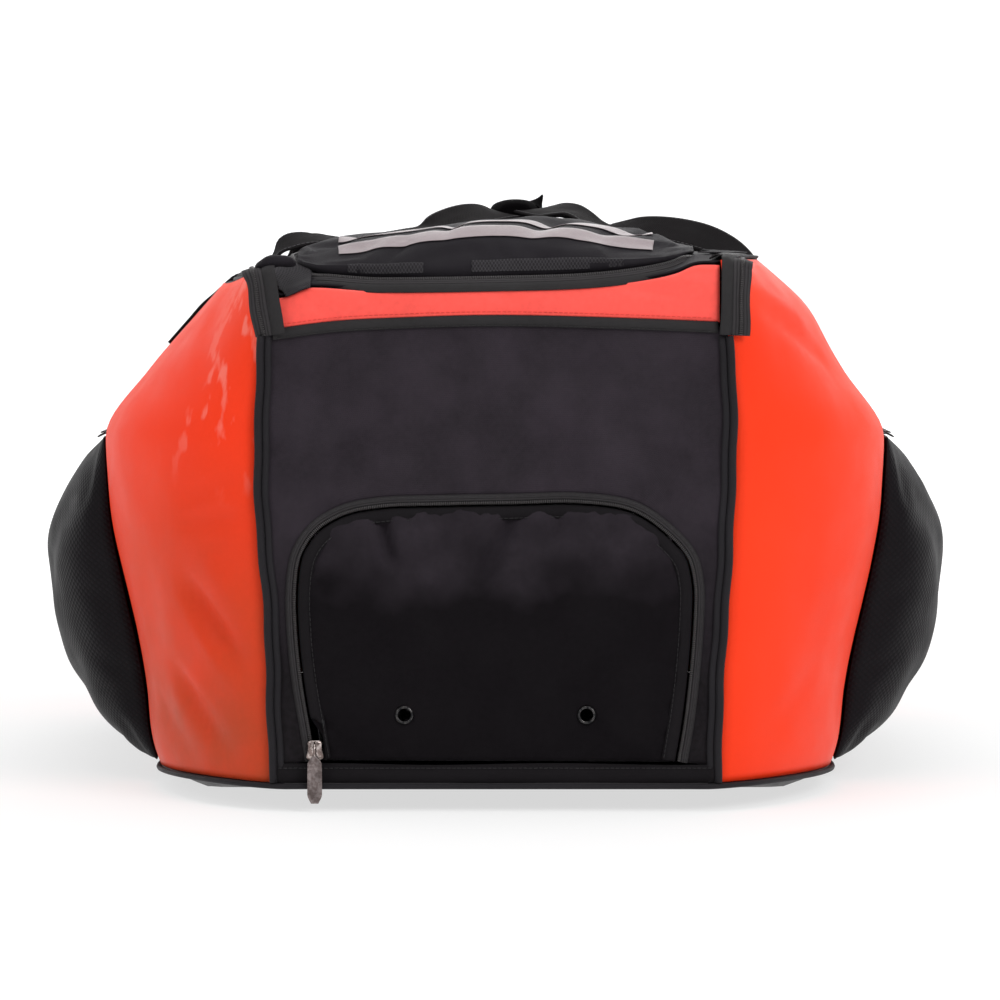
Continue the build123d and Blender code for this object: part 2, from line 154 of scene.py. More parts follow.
# a smooth line through the points, stepped evenly along its length; extra columns ride along with it
def evenPath(points, count, closed=False, wide=3):
    points = np.asarray(points, float)
    if closed:
        points = np.vstack([points[-3:], points, points[:3]])
    run = np.concatenate([[0], np.cumsum(np.linalg.norm(np.diff(points[:, :wide], axis=0), axis=1))])
    ends = (run[3], run[-3]) if closed else (0, run[-1])
    fine = np.linspace(ends[0], ends[1], 60 * len(points))
    line = np.stack([smoothThrough(run, column, fine, False) for column in points.T], 1)
    length = np.concatenate([[0], np.cumsum(np.linalg.norm(np.diff(line[:, :wide], axis=0), axis=1))])
    steps = np.linspace(0, length[-1], count + closed)
    even = np.stack([np.interp(steps, length, column) for column in line.T], 1)
    return even[:-1] if closed else even


def unit(vectors):
    return vectors / np.maximum(np.linalg.norm(vectors, axis=-1, keepdims=True), 1e-12)


# normal of a grid: the cross product of its two directions
def gridNormals(points):
    return unit(np.cross(np.gradient(points, axis=0), np.gradient(points, axis=1)))


# patch between four edges: the blend of the two pairs of edges, less the blend of the corners
def patchBetween(bottom, top, left, right):
    u = np.linspace(0, 1, len(bottom))[None, :, None]
    v = np.linspace(0, 1, len(left))[:, None, None]
    ruled = (1 - v) * bottom[None] + v * top[None] + (1 - u) * left[:, None] + u * right[:, None]
    corners = (1 - v) * ((1 - u) * bottom[0] + u * bottom[-1]) + v * ((1 - u) * top[0] + u * top[-1])
    return ruled - corners


# strip of cloth between two lines, bowed outwards by bow at its middle
def stripBetween(first, second, columns, bow=0.0, towards=(0, 0, 1)):
    t = np.linspace(0, 1, columns)[None, :, None]
    grid = first[:, None] * (1 - t) + second[:, None] * t
    normals = gridNormals(grid)
    normals *= np.sign((normals * unit(np.asarray(towards, float))).sum(-1, keepdims=True) + 1e-9)
    return grid + normals * bow * np.sin(np.pi * t)


# a place on a grid at the shares u across and v along, blended from its four nearest points
def onGrid(grid, u, v):
    rows, cols = grid.shape[:2]
    y, x = np.clip(v, 0, 1) * (rows - 1), np.clip(u, 0, 1) * (cols - 1)
    i, j = np.minimum(y.astype(int), rows - 2), np.minimum(x.astype(int), cols - 2)
    fy, fx = (y - i)[..., None], (x - j)[..., None]
    return ((grid[i, j] * (1 - fx) + grid[i, j + 1] * fx) * (1 - fy)
            + (grid[i + 1, j] * (1 - fx) + grid[i + 1, j + 1] * fx) * fy)


def linkMesh(name, vertices, faces, uvs=None):
    mesh = bpy.data.meshes.new(name)
    mesh.from_pydata(np.asarray(vertices, float).reshape(-1, 3).tolist(), [], faces)
    if uvs is not None:
        layer = mesh.uv_layers.new(name="UVMap")
        layer.data.foreach_set("uv", np.asarray(uvs, np.float32).ravel())
    mesh.polygons.foreach_set("use_smooth", np.ones(len(mesh.polygons), bool))
    mesh.update()
    piece = bpy.data.objects.new(name, mesh)
    scene.collection.objects.link(piece)
    return piece


def cellCorners(numbers):
    return np.stack([numbers[:-1, :-1], numbers[:-1, 1:], numbers[1:, 1:], numbers[1:, :-1]], -1).reshape(-1,
            4)


# grid of points to quads, with a UV map in metres along its two directions
# out is the way its faces look: a direction, an array of directions, or None for a closed form
def gridPiece(name, points, out=None, loopRows=False, loopCols=False, caps=False, uv=None, skip=None):
    rows, cols = points.shape[:2]
    down, over = np.arange(rows + loopRows) % rows, np.arange(cols + loopCols) % cols
    laid = points[down][:, over]
    if uv is None:
        across = np.concatenate([[0], np.cumsum(np.linalg.norm(np.diff(laid, axis=1), axis=2).mean(0))])
        along = np.concatenate([[0], np.cumsum(np.linalg.norm(np.diff(laid, axis=0), axis=2).mean(1))])
        uv = np.stack(np.broadcast_arrays(across[None, :], along[:, None]), -1)
    faces = cellCorners(down[:, None] * cols + over[None, :])
    spots = cellCorners(np.arange(laid.shape[0] * laid.shape[1]).reshape(laid.shape[:2]))
    flat = points.reshape(-1, 3)
    a, b, c = flat[faces[:, 0]], flat[faces[:, 1]], flat[faces[:, 2]]
    normal = np.cross(b - a, c - a)
    if out is None:
        turned = (normal * (a - flat.mean(0))).sum() < 0
    else:
        out = np.broadcast_to(out, points.shape).reshape(-1, 3)
        turned = (normal * out[faces[:, 0]]).sum() < 0
    if skip is not None:
        kept = ~skip(flat[faces].mean(1))
        faces, spots = faces[kept], spots[kept]
    if turned:
        faces, spots = faces[:, ::-1], spots[:, ::-1]
    uvs = uv.reshape(-1, 2)[spots].reshape(-1, 2)
    faceList = faces.tolist()
    if caps:
        first, last = list(range(cols)), list(range((rows - 1) * cols, rows * cols))
        faceList += [first if turned else first[::-1], last[::-1] if turned else last]
        flatUv = uv.reshape(-1, 2)
        uvs = np.vstack([uvs, flatUv[faceList[-2]], flatUv[faceList[-1]]])
    return linkMesh(name, flat, faceList, uvs)


# the three directions of a line at each point: along it, to its side, and up, square to each other
def directionsOf(path, ups, closed=False):
    if closed:
        along = unit(np.roll(path, -1, 0) - np.roll(path, 1, 0))
    else:
        along = unit(np.gradient(path, axis=0))
    side = unit(np.cross(along, np.broadcast_to(ups, path.shape)))
    return along, side, np.cross(side, along)


# profile carried along a path: each of its points is so far to the side of the path and so far up
def carry(name, path, ups, section, closed=False, size=1.0):
    along, side, up = directionsOf(path, ups, closed)
    size = np.broadcast_to(np.asarray(size, float), (len(path),))[:, None, None]
    spread = side[:, None] * section[None, :, :1] + up[:, None] * section[None, :, 1:]
    points = path[:, None] + spread * size
    run = np.concatenate([[0], np.cumsum(np.linalg.norm(np.diff(path, axis=0), axis=1))])
    if closed:
        run = np.append(run, run[-1] + np.linalg.norm(path[0] - path[-1]))
    shape = np.vstack([section, section[:1]])[:, 0]
    uv = np.stack(np.broadcast_arrays(shape[None, :], run[:, None]), -1)
    return gridPiece(name, points, spread if closed else None, loopRows=closed, loopCols=True,
                     caps=not closed, uv=uv)


# an oval, with its corners squared by a power above 2
def ovalSection(width, height, count=12, power=2.0):
    angle = np.arange(count) * 2 * np.pi / count
    c, s = np.cos(angle), np.sin(angle)
    reach = (np.abs(c)**power + np.abs(s)**power)**(-1 / power)
    return np.stack([c * reach * width / 2, s * reach * height / 2], 1)


# a flat strap: two faces of even columns with rounded edges
def strapSection(width, thick, columns=6):
    x = np.linspace(-1, 1, columns) * (width - thick) / 2
    top = np.stack([x, np.full(columns, thick / 2)], 1)
    return np.vstack([[[-width / 2, 0]], top, [[width / 2, 0]], -top])


# one small bead, long along the line, wide to its side, and high: three rings and two ends
def beadShape(length, width, height, sides=6):
    angle = np.arange(sides) * 2 * np.pi / sides
    ring = np.stack([np.zeros(sides), np.cos(angle) * width / 2, np.sin(angle) * height / 2], 1)
    rings = [ring * (1, grow, grow) + (at * length / 2, 0, 0) for at,
             grow in ((-1, 0.45), (-0.7, 0.95), (0.7, 0.95), (1, 0.45))]
    faces = []
    for r in range(3):
        for k in range(sides):
            m = (k + 1) % sides
            faces.append((r * sides + k, r * sides + m, r * sides + sides + m, r * sides + sides + k))
    faces += [tuple(range(sides))[::-1], tuple(range(3 * sides, 4 * sides))]
    return np.vstack(rings), faces


# the same small shape set along lines at an even pitch; turned means that it lies across the line
def setAlong(name, lines, shape, pitch, lift=0.0, turned=False):
    small, faces = shape
    placed = []
    for path, ups in lines:
        run = np.concatenate([[0], np.cumsum(np.linalg.norm(np.diff(path, axis=0), axis=1))])
        spots = np.arange(pitch / 2, run[-1], pitch)
        ups = np.broadcast_to(ups, path.shape)
        at = np.stack([np.interp(spots, run, column) for column in path.T], 1)
        along, side, up = directionsOf(path, ups)
        a, s, u = (unit(np.stack([np.interp(spots, run, column) for column in way.T], 1))
                   for way in (along, side, up))
        if turned:
            a, s = s, -a
        placed.append((at + u * lift)[:, None] + a[:, None] * small[None, :, :1] + s[:, None] * small[None,
                :, 1:2] + u[:, None] * small[None, :, 2:])
    points = np.concatenate(placed)
    count = len(small)
    faceList = [tuple(v + k * count for v in face) for k in range(len(points)) for face in faces]
    return linkMesh(name, points, faceList)


# every edge of a grid is held
def edgesOf(shape):
    held = np.zeros(shape, bool)
    held[[0, -1]] = True
    held[:, [0, -1]] = True
    return held


# cloth on a grid whose held points stay: pressure swells it and spare width lets it pucker;
# the move of each point is capped
def settle(grid, held, out, pressure, spare, cap, frames=14, stiff=12, bend=0.6):
    rows, cols = grid.shape[:2]
    piece = gridPiece("settling", grid, out)
    group = piece.vertex_groups.new(name="held")
    group.add(np.flatnonzero(held.ravel()).tolist(), 1.0, "REPLACE")
    cloth = piece.modifiers.new("cloth", "CLOTH")
    cloth.settings.quality = 5
    cloth.settings.mass = 0.25
    cloth.settings.tension_stiffness = stiff
    cloth.settings.compression_stiffness = stiff
    cloth.settings.shear_stiffness = stiff / 2
    cloth.settings.bending_stiffness = bend
    cloth.settings.vertex_group_mass = "held"
    cloth.settings.shrink_min = -spare
    cloth.settings.use_pressure = True
    cloth.settings.uniform_pressure_force = pressure
    cloth.settings.effector_weights.gravity = 0.0
    cloth.collision_settings.use_collision = False
    cloth.collision_settings.use_self_collision = False
    cloth.point_cache.frame_start, cloth.point_cache.frame_end = 1, frames
    for step in range(1, frames + 1):
        scene.frame_set(step)
    solved = piece.evaluated_get(bpy.context.evaluated_depsgraph_get())
    flat = np.empty(rows * cols * 3)
    solved.data.vertices.foreach_get("co", flat)
    bpy.data.objects.remove(piece)
    scene.frame_set(1)
    move = flat.reshape(grid.shape) - grid
    far = np.linalg.norm(move, axis=-1, keepdims=True)
    return grid + move * (cap * np.tanh(far / cap) / np.maximum(far, 1e-9))


# a piece's finish: materials, thickness, softened edges, its body and the nodes it stands for
def finish(piece, body, slot, materials, stands=(), thick=0.0, smooth=0, bevel=0.0, offset=-1.0):
    for material in materials:
        piece.data.materials.append(material)
    if smooth:
        subdivide = piece.modifiers.new("smooth", "SUBSURF")
        subdivide.levels = subdivide.render_levels = smooth
    if thick:
        wall = piece.modifiers.new("wall", "SOLIDIFY")
        wall.thickness = thick
        wall.offset = offset
        if len(materials) > 1:
            wall.material_offset = 1
    if bevel:
        edge = piece.modifiers.new("edge", "BEVEL")
        edge.width = bevel
        edge.segments = 2
    if body:
        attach(piece, body)
    if stands:
        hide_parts(*stands)
    return piece


# a grid of points made into cloth that faces out, and finished
def sheetOf(name, grid, out, *rest, **more):
    return finish(gridPiece(name, grid, out), *rest, **more)


print("materials")


# a node with its sockets set: a socket is linked and anything else is a value
def addNode(tree, kind, sockets=(), **settings):
    node = tree.nodes.new("ShaderNode" + kind)
    for key, value in settings.items():
        setattr(node, key, value)
    for key, value in dict(sockets).items():
        if isinstance(value, bpy.types.NodeSocket):
            tree.links.new(value, node.inputs[key])
        else:
            node.inputs[key].default_value = value
    return node


def sums(tree, operation, first, second=0.0, third=0.0):
    return addNode(tree, "Math", {0: first, 1: second, 2: third}, operation=operation).outputs[0]


def times(tree, first, second):
    return sums(tree, "MULTIPLY", first, second)


# a value brought from low..high to first..last
def ranged(tree, value, low=0.0, high=1.0, first=0.0, last=1.0):
    return addNode(tree, "MapRange", {0: value, 1: low, 2: high, 3: first, 4: last}).outputs[0]


def vectors(tree, operation, first, second=(0, 0, 0), output=0):
    return addNode(tree, "VectorMath", {0: first, 1: second}, operation=operation).outputs[output]


# the x, y and z of the place being shaded
def placeOf(tree):
    return addNode(tree, "SeparateXYZ", {0: addNode(tree, "TexCoord").outputs["Object"]}).outputs


def newMaterial(name, values):
    material = bpy.data.materials.new(name)
    material.use_nodes = True
    shader = material.node_tree.nodes["Principled BSDF"]
    for socket, value in values.items():
        shader.inputs[socket].default_value = value
    return material, material.node_tree, shader


def mixed(tree, share, first, second):
    return addNode(tree, "MixRGB", {0: share, 1: first, 2: second}).outputs[0]


def shaded(colour, amount):
    return tuple(c * amount for c in colour[:3]) + (1.0,)


# noise on Object coordinates, in waves per metre, brought to 0..1 between low and high
def cloudy(tree, perMetre, low, high, detail=3.0, stretch=(1, 1, 1)):
    spot = addNode(tree, "TexCoord").outputs["Object"]
    place = addNode(tree, "Mapping", {"Vector": spot, "Scale": stretch}).outputs[0]
    noise = addNode(tree, "TexNoise", {"Vector": place, "Scale": perMetre, "Detail": detail}).outputs[0]
    return ranged(tree, noise, low, high)


# weaves: each gives a height from 0 to 1 from the cloth's own UV map in metres
# plain: threads over and under each other; rib: cords along the cloth; chevron: slanted ribs that turn
# every few millimetres; diamond: a dobby's small lozenges; net: round holes in two shifted rows
def weave(tree, kind, pitch, spot):
    parts = addNode(tree, "SeparateXYZ", {0: spot}).outputs
    u, v = (sums(tree, "DIVIDE", parts[k], pitch) for k in (0, 1))

    def waveOf(x):
        return sums(tree, "ABSOLUTE", sums(tree, "SINE", times(tree, x, math.pi)))

    if kind == "plain":
        cell = sums(tree, "ADD", sums(tree, "FLOOR", u), sums(tree, "FLOOR", v))
        over = sums(tree, "ABSOLUTE", sums(tree, "MODULO", cell, 2.0))
        first, second = times(tree, waveOf(u), over), times(tree, waveOf(v),
                sums(tree, "SUBTRACT", 1.0, over))
        return sums(tree, "ADD", first, second)
    if kind == "rib":
        return sums(tree, "POWER", waveOf(u), 0.6)
    if kind == "chevron":
        band = sums(tree, "PINGPONG", parts[0], pitch * 3)
        slant = sums(tree, "ADD", sums(tree, "DIVIDE", band, pitch), v)
        return times(tree, waveOf(slant),
                     sums(tree, "ADD", times(tree, waveOf(times(tree, u, 2.0)), 0.3), 0.7))
    if kind == "diamond":
        first, second = waveOf(sums(tree, "ADD", u, v)), waveOf(sums(tree, "SUBTRACT", u, v))
        return times(tree, first, second)
    cells = vectors(tree, "MULTIPLY", spot, (1 / pitch, 0.6 / pitch, 0))
    reach = [vectors(tree, "LENGTH", vectors(tree, "SUBTRACT", vectors(tree, "FRACTION", way),
            (0.5, 0.5, 0)), output="Value") for way in (cells, vectors(tree, "ADD", cells, (0.5, 0.5, 0)))]
    near = sums(tree, "MINIMUM", reach[0], reach[1])
    return ranged(tree, near, 0.22, 0.34)


# one cloth or coating: its colour fades in clouds, its threads catch light on their tops,
# worn spots are duller, and the bumps are the weave over the soft crumples
def clothMaterial(name, colour, kind="plain", pitch=0.0007, depth=0.0001, rough=0.75, sheen=0.2, coat=0.0,
                  threads=0.35, fading=0.25, crumple=0.0005, crumplesPerMetre=28, glint=(1, 1, 1),
                  coatRough=0.25, level=0.16, solid=False, pattern=None, speckle=0.18):
    material, tree, shader = newMaterial(name, {
        "Sheen Weight": sheen, "Sheen Roughness": 0.45, "Sheen Tint": glint + (1.0,), "Coat Weight": coat,
        "Coat Roughness": coatRough, "Specular IOR Level": level})
    spot = addNode(tree, "TexCoord").outputs["Object" if solid else "UV"]
    height = weave(tree, kind, pitch, spot)
    faded = cloudy(tree, 9, 0.3, 0.7)
    fine = cloudy(tree, 260, 0.3, 0.7, 2.0)
    tone = pattern(tree) if pattern else mixed(tree, faded, shaded(colour, 1 - fading),
            shaded(colour, 1 + fading))
    thread = mixed(tree, times(tree, sums(tree, "SUBTRACT", 1.0, height), threads), tone,
                   shaded(colour, 0.25))
    worn = mixed(tree, times(tree, fine, speckle), thread, shaded(colour, 1.5))
    tree.links.new(worn, shader.inputs["Base Color"])
    tree.links.new(ranged(tree, cloudy(tree, 34, 0.25, 0.75), 0, 1, rough - 0.08, rough + 0.08),
                   shader.inputs["Roughness"])
    soft = addNode(tree, "Bump", {"Height": cloudy(tree, crumplesPerMetre, 0.0, 1.0, 4.0),
            "Distance": crumple, "Strength": 0.8})
    weft = addNode(tree, "Bump", {"Height": height, "Distance": depth, "Strength": 0.7,
            "Normal": soft.outputs[0]})
    tree.links.new(weft.outputs[0], shader.inputs["Normal"])
    return material


def metalMaterial(name, colour, rough, worn):
    material, tree, shader = newMaterial(name, {"Metallic": 1.0})
    rubbed = cloudy(tree, 420, 0.42, 0.62, 4.0)
    stained = cloudy(tree, 160, 0.35, 0.7)
    tone = mixed(tree, rubbed, colour + (1.0,), worn + (1.0,))
    tree.links.new(mixed(tree, times(tree, stained, 0.5), tone, shaded(colour, 0.35)),
                   shader.inputs["Base Color"])
    tree.links.new(ranged(tree, stained, 0, 1, rough - 0.08, rough + 0.2), shader.inputs["Roughness"])
    scratches = cloudy(tree, 900, 0.3, 0.7, 3.0, (1, 1, 0.15))
    tree.links.new(addNode(tree, "Bump",
                           {"Height": scratches, "Distance": 0.00006, "Strength": 0.5}).outputs[0],
                   shader.inputs["Normal"])
    return material


# orange coating: painted shade, a darker brown, low on the left side near the front
def orangeTones(tree):
    x, y, z = placeOf(tree)
    leftSide, low, near = ranged(tree, x, -0.10, -0.14), ranged(tree, z, 0.25, 0.05), ranged(tree, y, -0.22,
            -0.34)
    # painted shade: soft clouds that spread the darker brown unevenly
    shadeClouds = ranged(tree, cloudy(tree, 14, 0.25, 0.75, 4.0), 0, 1, 0.45, 1.0)
    share = times(tree, times(tree, leftSide, low), times(tree, near, shadeClouds))
    clean = mixed(tree, cloudy(tree, 9, 0.3, 0.7), (0.93, 0.040, 0.007, 1), (0.98, 0.048, 0.009, 1))
    # the darker brown mixed in here is painted shade
    paintedShadeLow = mixed(tree, share, clean, (0.42, 0.060, 0.018, 1))
    # painted highlights: pale glossy glints high on the left beside the corner
    upper = times(tree, ranged(tree, z, 0.20, 0.26), ranged(tree, y, -0.385, -0.425))
    paintedGlints = times(tree, times(tree, leftSide, upper), cloudy(tree, 62, 0.56, 0.64, 3.0, (1, 1, 0.45)))
    # the pale colour mixed in is the painted highlight
    return mixed(tree, times(tree, paintedGlints, 0.4), paintedShadeLow, (1.0, 0.36, 0.30, 1))


# black cloth that darkens downwards, from one height to another, along an uneven line: painted light on the
# upper part and painted shade below
def paintedLitTop(lower, upper, dark, light):
    def tones(tree):
        uneven = times(tree, cloudy(tree, 22, 0.3, 0.7), 0.030)
        share = ranged(tree, sums(tree, "ADD", placeOf(tree)[2], uneven), lower, upper)
        # the upper tone, mottled, is the painted light
        worn = mixed(tree, cloudy(tree, 30, 0.35, 0.75, 5.0), shaded(light, 0.75), shaded(light, 1.3))
        return mixed(tree, share, dark + (1.0,), worn)
    return tones


orangeCoat = clothMaterial("orangeCoat", (0.96, 0.052, 0.012), "plain", 0.0009, 0.00005, rough=0.5,
                           sheen=0.0, coat=0.03, level=0.12, threads=0.05, speckle=0.03, fading=0.05,
                           crumple=0.0011, crumplesPerMetre=18, coatRough=0.2, pattern=orangeTones)
orangeBack = clothMaterial("orangeBack", (0.50, 0.06, 0.03), "plain", 0.0009, rough=0.8, threads=0.3)
coralSatin = clothMaterial("coralSatin", (0.93, 0.088, 0.068), "rib", 0.0006, 0.00004, rough=0.45,
                           sheen=0.10, level=0.3, threads=0.10, fading=0.06, crumple=0.0006,
                           crumplesPerMetre=22, glint=(1, 0.8, 0.78))
blackCloth = clothMaterial("blackCloth", (0.0245, 0.0190, 0.0245), "plain", 0.0007, 0.00012, rough=0.85,
                           sheen=0.02, fading=0.22, crumple=0.0006,
                           pattern=paintedLitTop(0.10, 0.21, (0.0060, 0.0046, 0.0056), (0.0260, 0.0200, 0.0265)))
# on the flap the lighter top is painted light, as if its upturned top caught the lamps, and the lower part is
# painted shade
flapCloth = clothMaterial("flapCloth", (0.0062, 0.0048, 0.0062), "plain", 0.0007, 0.00012, rough=0.85,
                          sheen=0.0, level=0.09, fading=0.3, crumple=0.0009,
                          pattern=paintedLitTop(0.152, 0.190, (0.0052, 0.0040, 0.0052), (0.0280, 0.0225, 0.0285)))
backCloth = clothMaterial("backCloth", (0.02, 0.02, 0.022), "plain", 0.0007, rough=0.85, sheen=0.05)
dobbyCloth = clothMaterial("dobbyCloth", (0.0060, 0.0046, 0.0062), "diamond", 0.0046, 0.00032, rough=0.5,
                           sheen=0.0, level=0.09, threads=0.5, fading=0.15, crumple=0.0005,
                           crumplesPerMetre=12)
lidCloth = clothMaterial("lidCloth", (0.0105, 0.0086, 0.0115), "plain", 0.0007, 0.0001, rough=0.65,
                         sheen=0.02, level=0.14, fading=0.18, crumple=0.0008, crumplesPerMetre=22)
bindingCloth = clothMaterial("bindingCloth", (0.024, 0.0225, 0.0235), "rib", 0.0009, 0.00012, rough=0.8,
                             sheen=0.02, threads=0.3, fading=0.12)
foldCloth = clothMaterial("foldCloth", (0.0085, 0.0072, 0.0085), "rib", 0.0009, 0.00012, rough=0.8,
                          sheen=0.0, level=0.1, threads=0.3, fading=0.15)
pipingCloth = clothMaterial("pipingCloth", (0.0135, 0.0120, 0.0145), "plain", 0.0006, 0.00008, rough=0.6,
                            sheen=0.03, fading=0.15, crumple=0.0002)
tapeCloth = clothMaterial("tapeCloth", (0.033, 0.030, 0.032), "rib", 0.0026, 0.0006, rough=0.75, sheen=0.02,
                          threads=0.9, fading=0.12, crumple=0.0002)
coilPlastic = clothMaterial("coilPlastic", (0.034, 0.030, 0.031), "plain", 0.0005, 0.00002, rough=0.35,
                            sheen=0.0, level=0.4, threads=0.05, fading=0.1, crumple=0.0001, solid=True)
strapWebbing = clothMaterial("strapWebbing", (0.0115, 0.0100, 0.0108), "chevron", 0.0016, 0.0003, rough=0.78,
                             sheen=0.0, level=0.1, threads=0.6, fading=0.15, crumple=0.0002)
wrapCloth = clothMaterial("wrapCloth", (0.0022, 0.0018, 0.0022), "plain", 0.0008, 0.00012, rough=0.9,
                          sheen=0.0, level=0.04, fading=0.2)
liningCloth = clothMaterial("liningCloth", (0.045, 0.043, 0.047), "plain", 0.0006, 0.00006, rough=0.6,
                            sheen=0.15, coat=0.1, threads=0.25, crumple=0.0010)
ventNet = clothMaterial("ventNet", (0.034, 0.031, 0.035), "net", 0.0023, 0.0004, rough=0.8, sheen=0.02,
                        threads=0.8, fading=0.15, crumple=0.0003)
baseCoat = clothMaterial("baseCoat", (0.014, 0.013, 0.014), "plain", 0.0011, 0.00015, rough=0.5, sheen=0.05,
                         coat=0.15, threads=0.4, fading=0.3, crumple=0.0006)
boardSheet = clothMaterial("boardSheet", (0.05, 0.05, 0.055), "plain", 0.004, 0.0002, rough=0.6, sheen=0.0,
                           threads=0.2, fading=0.2, solid=True)
threadBlack = clothMaterial("threadBlack", (0.012, 0.011, 0.012), "rib", 0.0004, 0.00002, rough=0.6,
                            sheen=0.2, threads=0.2, solid=True)
threadCoral = clothMaterial("threadCoral", (0.72, 0.060, 0.045), "rib", 0.0004, 0.00002, rough=0.6,
                            sheen=0.1, threads=0.2, solid=True)
threadGrey = clothMaterial("threadGrey", (0.09, 0.085, 0.09), "rib", 0.0004, 0.00002, rough=0.6, sheen=0.2,
                           threads=0.2, solid=True)
reflectiveTape = clothMaterial("reflectiveTape", (0.30, 0.25, 0.26), "plain", 0.0007, 0.00006, rough=0.4,
                               sheen=0.3, threads=0.08, fading=0.1, crumple=0.0005)
gunmetal = metalMaterial("gunmetal", (0.022, 0.022, 0.024), 0.30, (0.10, 0.095, 0.095))
darkZinc = metalMaterial("darkZinc", (0.26, 0.20, 0.185), 0.24, (0.72, 0.63, 0.60))
nickel = metalMaterial("nickel", (0.17, 0.135, 0.13), 0.36, (0.30, 0.255, 0.25))


# pale paper sweep: a floor that curves up far behind the bag
def sweepMaterial():
    material, tree, shader = newMaterial("paperSweep", {
        "Roughness": 0.9, "Specular IOR Level": 0.1, "Emission Color": (1, 1, 1, 1)})
    tone = studio["floorTone"]
    paper = mixed(tree, cloudy(tree, 3, 0.3, 0.7), (tone, tone, tone, 1),
                  (tone - 0.01, tone - 0.01, tone - 0.01, 1))
    tree.links.new(paper, shader.inputs["Base Color"])
    # the paper glows, less near the bag and fully far off: painted light that pales the bag's shadow on the
    # floor and whitens the far wall
    glow = ranged(tree, placeOf(tree)[1], 0.4, 2.4, studio["nearGlow"], studio["farGlow"])
    tree.links.new(glow, shader.inputs["Emission Strength"])
    return material


v = np.linspace(0, 1, 60)
depthAt = np.where(v < 0.5, -studio["floorFront"] + v * 2 * (studio["floorFront"] + studio["wallStart"]),
                   studio["wallStart"] + np.sin((v - 0.5) * np.pi) * 2.5)
riseAt = np.where(v < 0.5, 0.0, (1 - np.cos((v - 0.5) * np.pi)) * studio["wallHeight"])
sweep = np.stack(np.broadcast_arrays(np.linspace(-studio["floorHalf"], studio["floorHalf"], 9)[None, :],
        depthAt[:, None], riseAt[:, None]), -1)
floor = gridPiece("paper_sweep", sweep, (0, 0, 1))
floor.data.materials.append(sweepMaterial())


# ---- the bag's own lines

frontY, rearY = boxOf("front_end_panel")[0][1], boxOf("rear_end_panel")[1][1]
rimZ, sideFoot = boxOf("left_side_panel")[1][2], boxOf("left_side_panel")[0][2]
bag = dict(endHalf=[(0.013, 0.147), (0.13, 0.152), (0.241, 0.158), (0.35, 0.152), (0.37, 0.150)],
           middleHalf=[(0.013, 0.235), (0.03, 0.2405), (0.067, 0.245), (0.10, 0.251), (0.13, 0.258),
                       (0.18, 0.268), (0.22, 0.2715), (0.243, 0.2725), (0.29, 0.2425), (0.331, 0.207),
                       (0.35, 0.190), (0.37, 0.174)], flareStart=0.25, flareLength=0.20, flarePower=0.77,
           leftLift=0.006, liftAt=0.425, liftWidth=0.045, footDrop=0.006,
           shoulder=dict(lift=0.0165, out=0.0135, height=0.338, spread=0.030, start=-0.26, end=-0.165))


# the right shoulder stands up from the front to this far back
def shoulderAt(y):
    return 1 - ease(y, bag["shoulder"]["start"], bag["shoulder"]["end"])


# half width of the walls: the end's profile widens to the middle's as the wall flares away from the end
def wallX(y, z, side=0):
    s = np.clip((np.abs(y) - bag["flareStart"]) / bag["flareLength"], 0, 1)
    flare = np.maximum(1 - s**2, 0)**bag["flarePower"]
    end, middle = through(bag["endHalf"], z), through(bag["middleHalf"], z)
    if side > 0:
        shoulder = bag["shoulder"]
        swell = np.exp(-((z - shoulder["height"]) / shoulder["spread"])**2)
        middle = middle + shoulder["out"] * swell * shoulderAt(y)
    return end + (middle - end) * flare


# height of the rim: it lifts at the left front corner, and all along the right shoulder
def rimAt(y, side):
    if side > 0:
        return rimZ + bag["shoulder"]["lift"] * shoulderAt(y)
    return rimZ + bag["leftLift"] * np.exp(-((y + bag["liftAt"]) / bag["liftWidth"])**2)


# lower edge of the walls: the base lifts towards the ends
def footAt(y):
    return sideFoot - bag["footDrop"] * (1 - ease(np.abs(y), 0.20, 0.44))


# lower and upper edges of the coral band across the front
def bandFoot(x):
    return through([(-0.150, 0.3200), (-0.107, 0.3255), (-0.060, 0.3280), (0, 0.3295), (0.073, 0.3280),
                    (0.150, 0.3250)], x)


def bandTop(x):
    return through([(-0.150, 0.3390), (-0.140, 0.3400), (-0.121, 0.3465), (-0.077, 0.3440), (0, 0.3450),
                    (0.061, 0.3470), (0.097, 0.3510), (0.120, 0.3560), (0.132, 0.3610), (0.150, 0.3615)], x)


# the lid: flat along its edge and crowned across, sloping down at both ends
lid = dict(crest=rimZ + 0.0235, edgeLift=0.0025, endSlope=0.075, power=4.0)


def lidHalf(y):
    return wallX(y, rimZ) - 0.006


def lidZ(x, y):
    share = np.clip(np.abs(x) / lidHalf(y), 0, 1)
    ends = ease(y, frontY + 0.002, frontY + lid["endSlope"]) * (1 - ease(y, rearY - lid["endSlope"],
            rearY - 0.002))
    edge = rimAt(y, -1) + (rimAt(y, 1) - rimAt(y, -1)) * ease(x, -0.06, 0.17) + lid["edgeLift"]
    front = bandTop(x) + 0.004
    atFront = 1 - ease(y, frontY, frontY + 0.05)
    crown = (lid["crest"] - edge) * (0.12 + 0.88 * ends) * (1 - share**lid["power"]) * (1 - 0.9 * atFront)
    return (edge + (front - edge) * atFront) + crown


